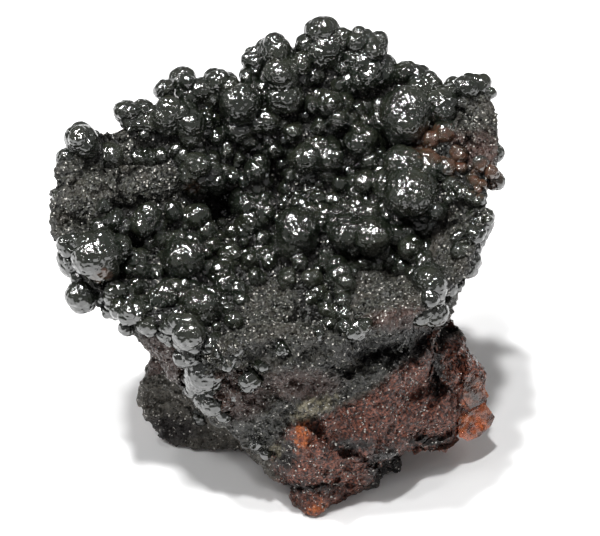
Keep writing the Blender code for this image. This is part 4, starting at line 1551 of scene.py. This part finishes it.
def paint_red(thing, behind):
    """Red inside the outline that is seen, and one even share on the hidden side."""
    places, normals = skin_points(thing)
    across, down = strayed(places, *MASK_STRAY)
    inside = np.zeros(len(across), dtype=bool)
    for (x0, y0), (x1, y1) in zip(RED_OUTLINE, RED_OUTLINE[1:]):
        crosses = (y0 > down) != (y1 > down)
        if y0 != y1:
            inside ^= crosses & (across < (x1 - x0) * (down - y0) / (y1 - y0) + x0)
    reach = line_distance(across, down, RED_OUTLINE) * np.where(inside, 1, -1)
    seen = np.clip(reach / RED_SOFTNESS * 0.5 + 0.5, 0, 1)
    facing = side_seen(normals, 4, 0.6)
    store(thing, "red", seen * facing + behind * (1 - facing))


KNOB_PIECES = (knobs_back, knobs_front, knobs_small, knobs_side, knobs_rim, knobs_great,
               beads_large, beads_small, knobs_apron)
for piece in KNOB_PIECES:
    paint(piece, "stain", STAINED_PATCHES)
    dress(piece, GLOSSY)
paint(crust_rock, "stain", PURPLE_PATCHES, 0.9)
for piece, behind in ((crust_rock, 0.0), (matrix_rock, 0.8)):
    paint_red(piece, behind)
    # the dark mask: painted shade in cracks and hollows, and the real black of the glossy
    # foot
    paint(piece, "dark", SHADE_AND_BLACK_PATCHES, 0.8)
    paint(piece, "ochre", OCHRE_PATCHES)
    paint(piece, "orange", ORANGE_PATCHES)
paint(crystals, "dark", CRYSTAL_DARK_PATCHES, 0.6)
store(crust_rock, "polished", stored(crust_rock, "beaded"))
paint(matrix_rock, "polished", POLISHED_PATCHES, 0.9)
dress(crust_rock, BROKEN)
dress(matrix_rock, IRONSTONE)
dress(crystals, CRYSTAL)
print("dressed:", len(KNOB_PIECES) + 3, "pieces")

# %% [markdown]
# ## Set the pieces into the frame
# Everything so far was built in the sight frame. The imported solids stand with their
# origin under the middle of the specimen, so every mesh moves by one fixed step, which
# the crystals give: they have the same corners in both.

# %% Place the pieces
packed_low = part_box("orange_crystals")[0]
corners = [vert.co for vert in crystals.data.vertices]
own_low = Vector([min(corner[axis] for corner in corners) for axis in range(3)])
SHIFT = Vector(packed_low) - own_low
SHIFT.z = 0
PIECES = [(piece, "goethite_crust", "goethite") for piece in (crust_rock, *KNOB_PIECES)] + [
    (matrix_rock, "ironstone_matrix", "ironstone"),
    (crystals, "orange_crystals", "orange_crystal"),
]
for piece, node, slot in PIECES:
    piece.data.transform(Matrix.Translation(SHIFT))
    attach(piece, "root")
    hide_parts(node)
print("moved by", [round(value * 1000, 2) for value in SHIFT], "mm")

# %% [markdown]
# ## Floor, light and camera
# The specimen stands on plain white. A strip of small lamps hangs above it, the three
# strongest almost straight overhead, so that its shadow stays near. Each lamp puts a spark
# of its own near the top of every knob. A pale surround, brighter towards the horizon,
# lifts the edges.

# %% Floor
FLOOR_SIZE = 6.0


def white_floor():
    """A plain pale floor."""
    mesh = bmesh.new()
    bmesh.ops.create_grid(mesh, x_segments=1, y_segments=1, size=FLOOR_SIZE / 2)
    thing = new_object("floor", mesh)
    material, _, shader = new_material("white_floor")
    shader.inputs["Base Color"].default_value = (0.92, 0.92, 0.92, 1)
    shader.inputs["Roughness"].default_value = 0.9
    dress(thing, material)


white_floor()
print("floor:", FLOOR_SIZE, "m wide")

# %% Lamps
LAMP_HEIGHT = 0.62
LAMPS = [
    (-0.72, -0.10, 0.25), (-0.58, 0.06, 0.25), (-0.50, -0.24, 0.25), (-0.38, -0.06, 0.4),
    (-0.28, 0.08, 0.5), (-0.24, -0.18, 0.6), (-0.16, -0.04, 2.3), (-0.06, 0.06, 2.9),
    (-0.03, -0.14, 2.2), (0.34, -0.06, 0.2), (0.46, 0.06, 0.15), (0.52, -0.18, 0.15),
    (0.70, -0.04, 0.15),
]
LAMP_SIZE = 0.034
LAMP_AIM = (0, 0, 0.04)
HORIZON_LIGHT = 0.32
OVERHEAD_LIGHT = 0.17


def lamp(x, y, power):
    """One small square lamp that points at the specimen."""
    light = bpy.data.lights.new("lamp", "AREA")
    light.size = LAMP_SIZE
    light.energy = power
    thing = bpy.data.objects.new("lamp", light)
    thing.location = (x, y, LAMP_HEIGHT)
    way = Vector(LAMP_AIM) - thing.location
    thing.rotation_euler = way.to_track_quat("-Z", "Y").to_euler()
    bpy.context.scene.collection.objects.link(thing)


for spot in LAMPS:
    lamp(*spot)


def surround():
    """A room that is dim overhead and brighter towards the horizon."""
    world = bpy.data.worlds.new("surround")
    world.use_nodes = True
    tree = world.node_tree
    way = add(tree, "ShaderNodeTexCoord")
    parts = add(tree, "ShaderNodeSeparateXYZ", {"Vector": way.outputs["Generated"]})
    level = ramp(tree, parts.outputs["Z"], 0.0, 0.9, HORIZON_LIGHT, OVERHEAD_LIGHT)
    tree.links.new(level, tree.nodes["Background"].inputs["Strength"])
    tree.nodes["Background"].inputs["Color"].default_value = (1, 1, 1, 1)
    bpy.context.scene.world = world


surround()
bpy.context.scene.view_settings.view_transform = "Standard"
print("lamps:", len(LAMPS))

# %% Camera
SENSOR_WIDTH = 36
camera = bpy.data.objects.new("camera", bpy.data.cameras.new("camera"))
camera.location = EYE + SHIFT
camera.rotation_euler = (math.pi / 2 - SIGHT_ELEVATION, 0, 0)
camera.data.sensor_width = SENSOR_WIDTH
camera.data.lens = SENSOR_WIDTH * SIGHT_DISTANCE / (PICTURE_WIDTH * PIXEL)
camera.data.clip_start = 0.01
bpy.context.scene.collection.objects.link(camera)
bpy.context.scene.camera = camera
print("lens", round(camera.data.lens, 1), "mm")

# %% [markdown]
# ## Finish
# The dressed model has to fill the same box as the imported solids.

# %% Update the scene
bpy.context.view_layer.update()
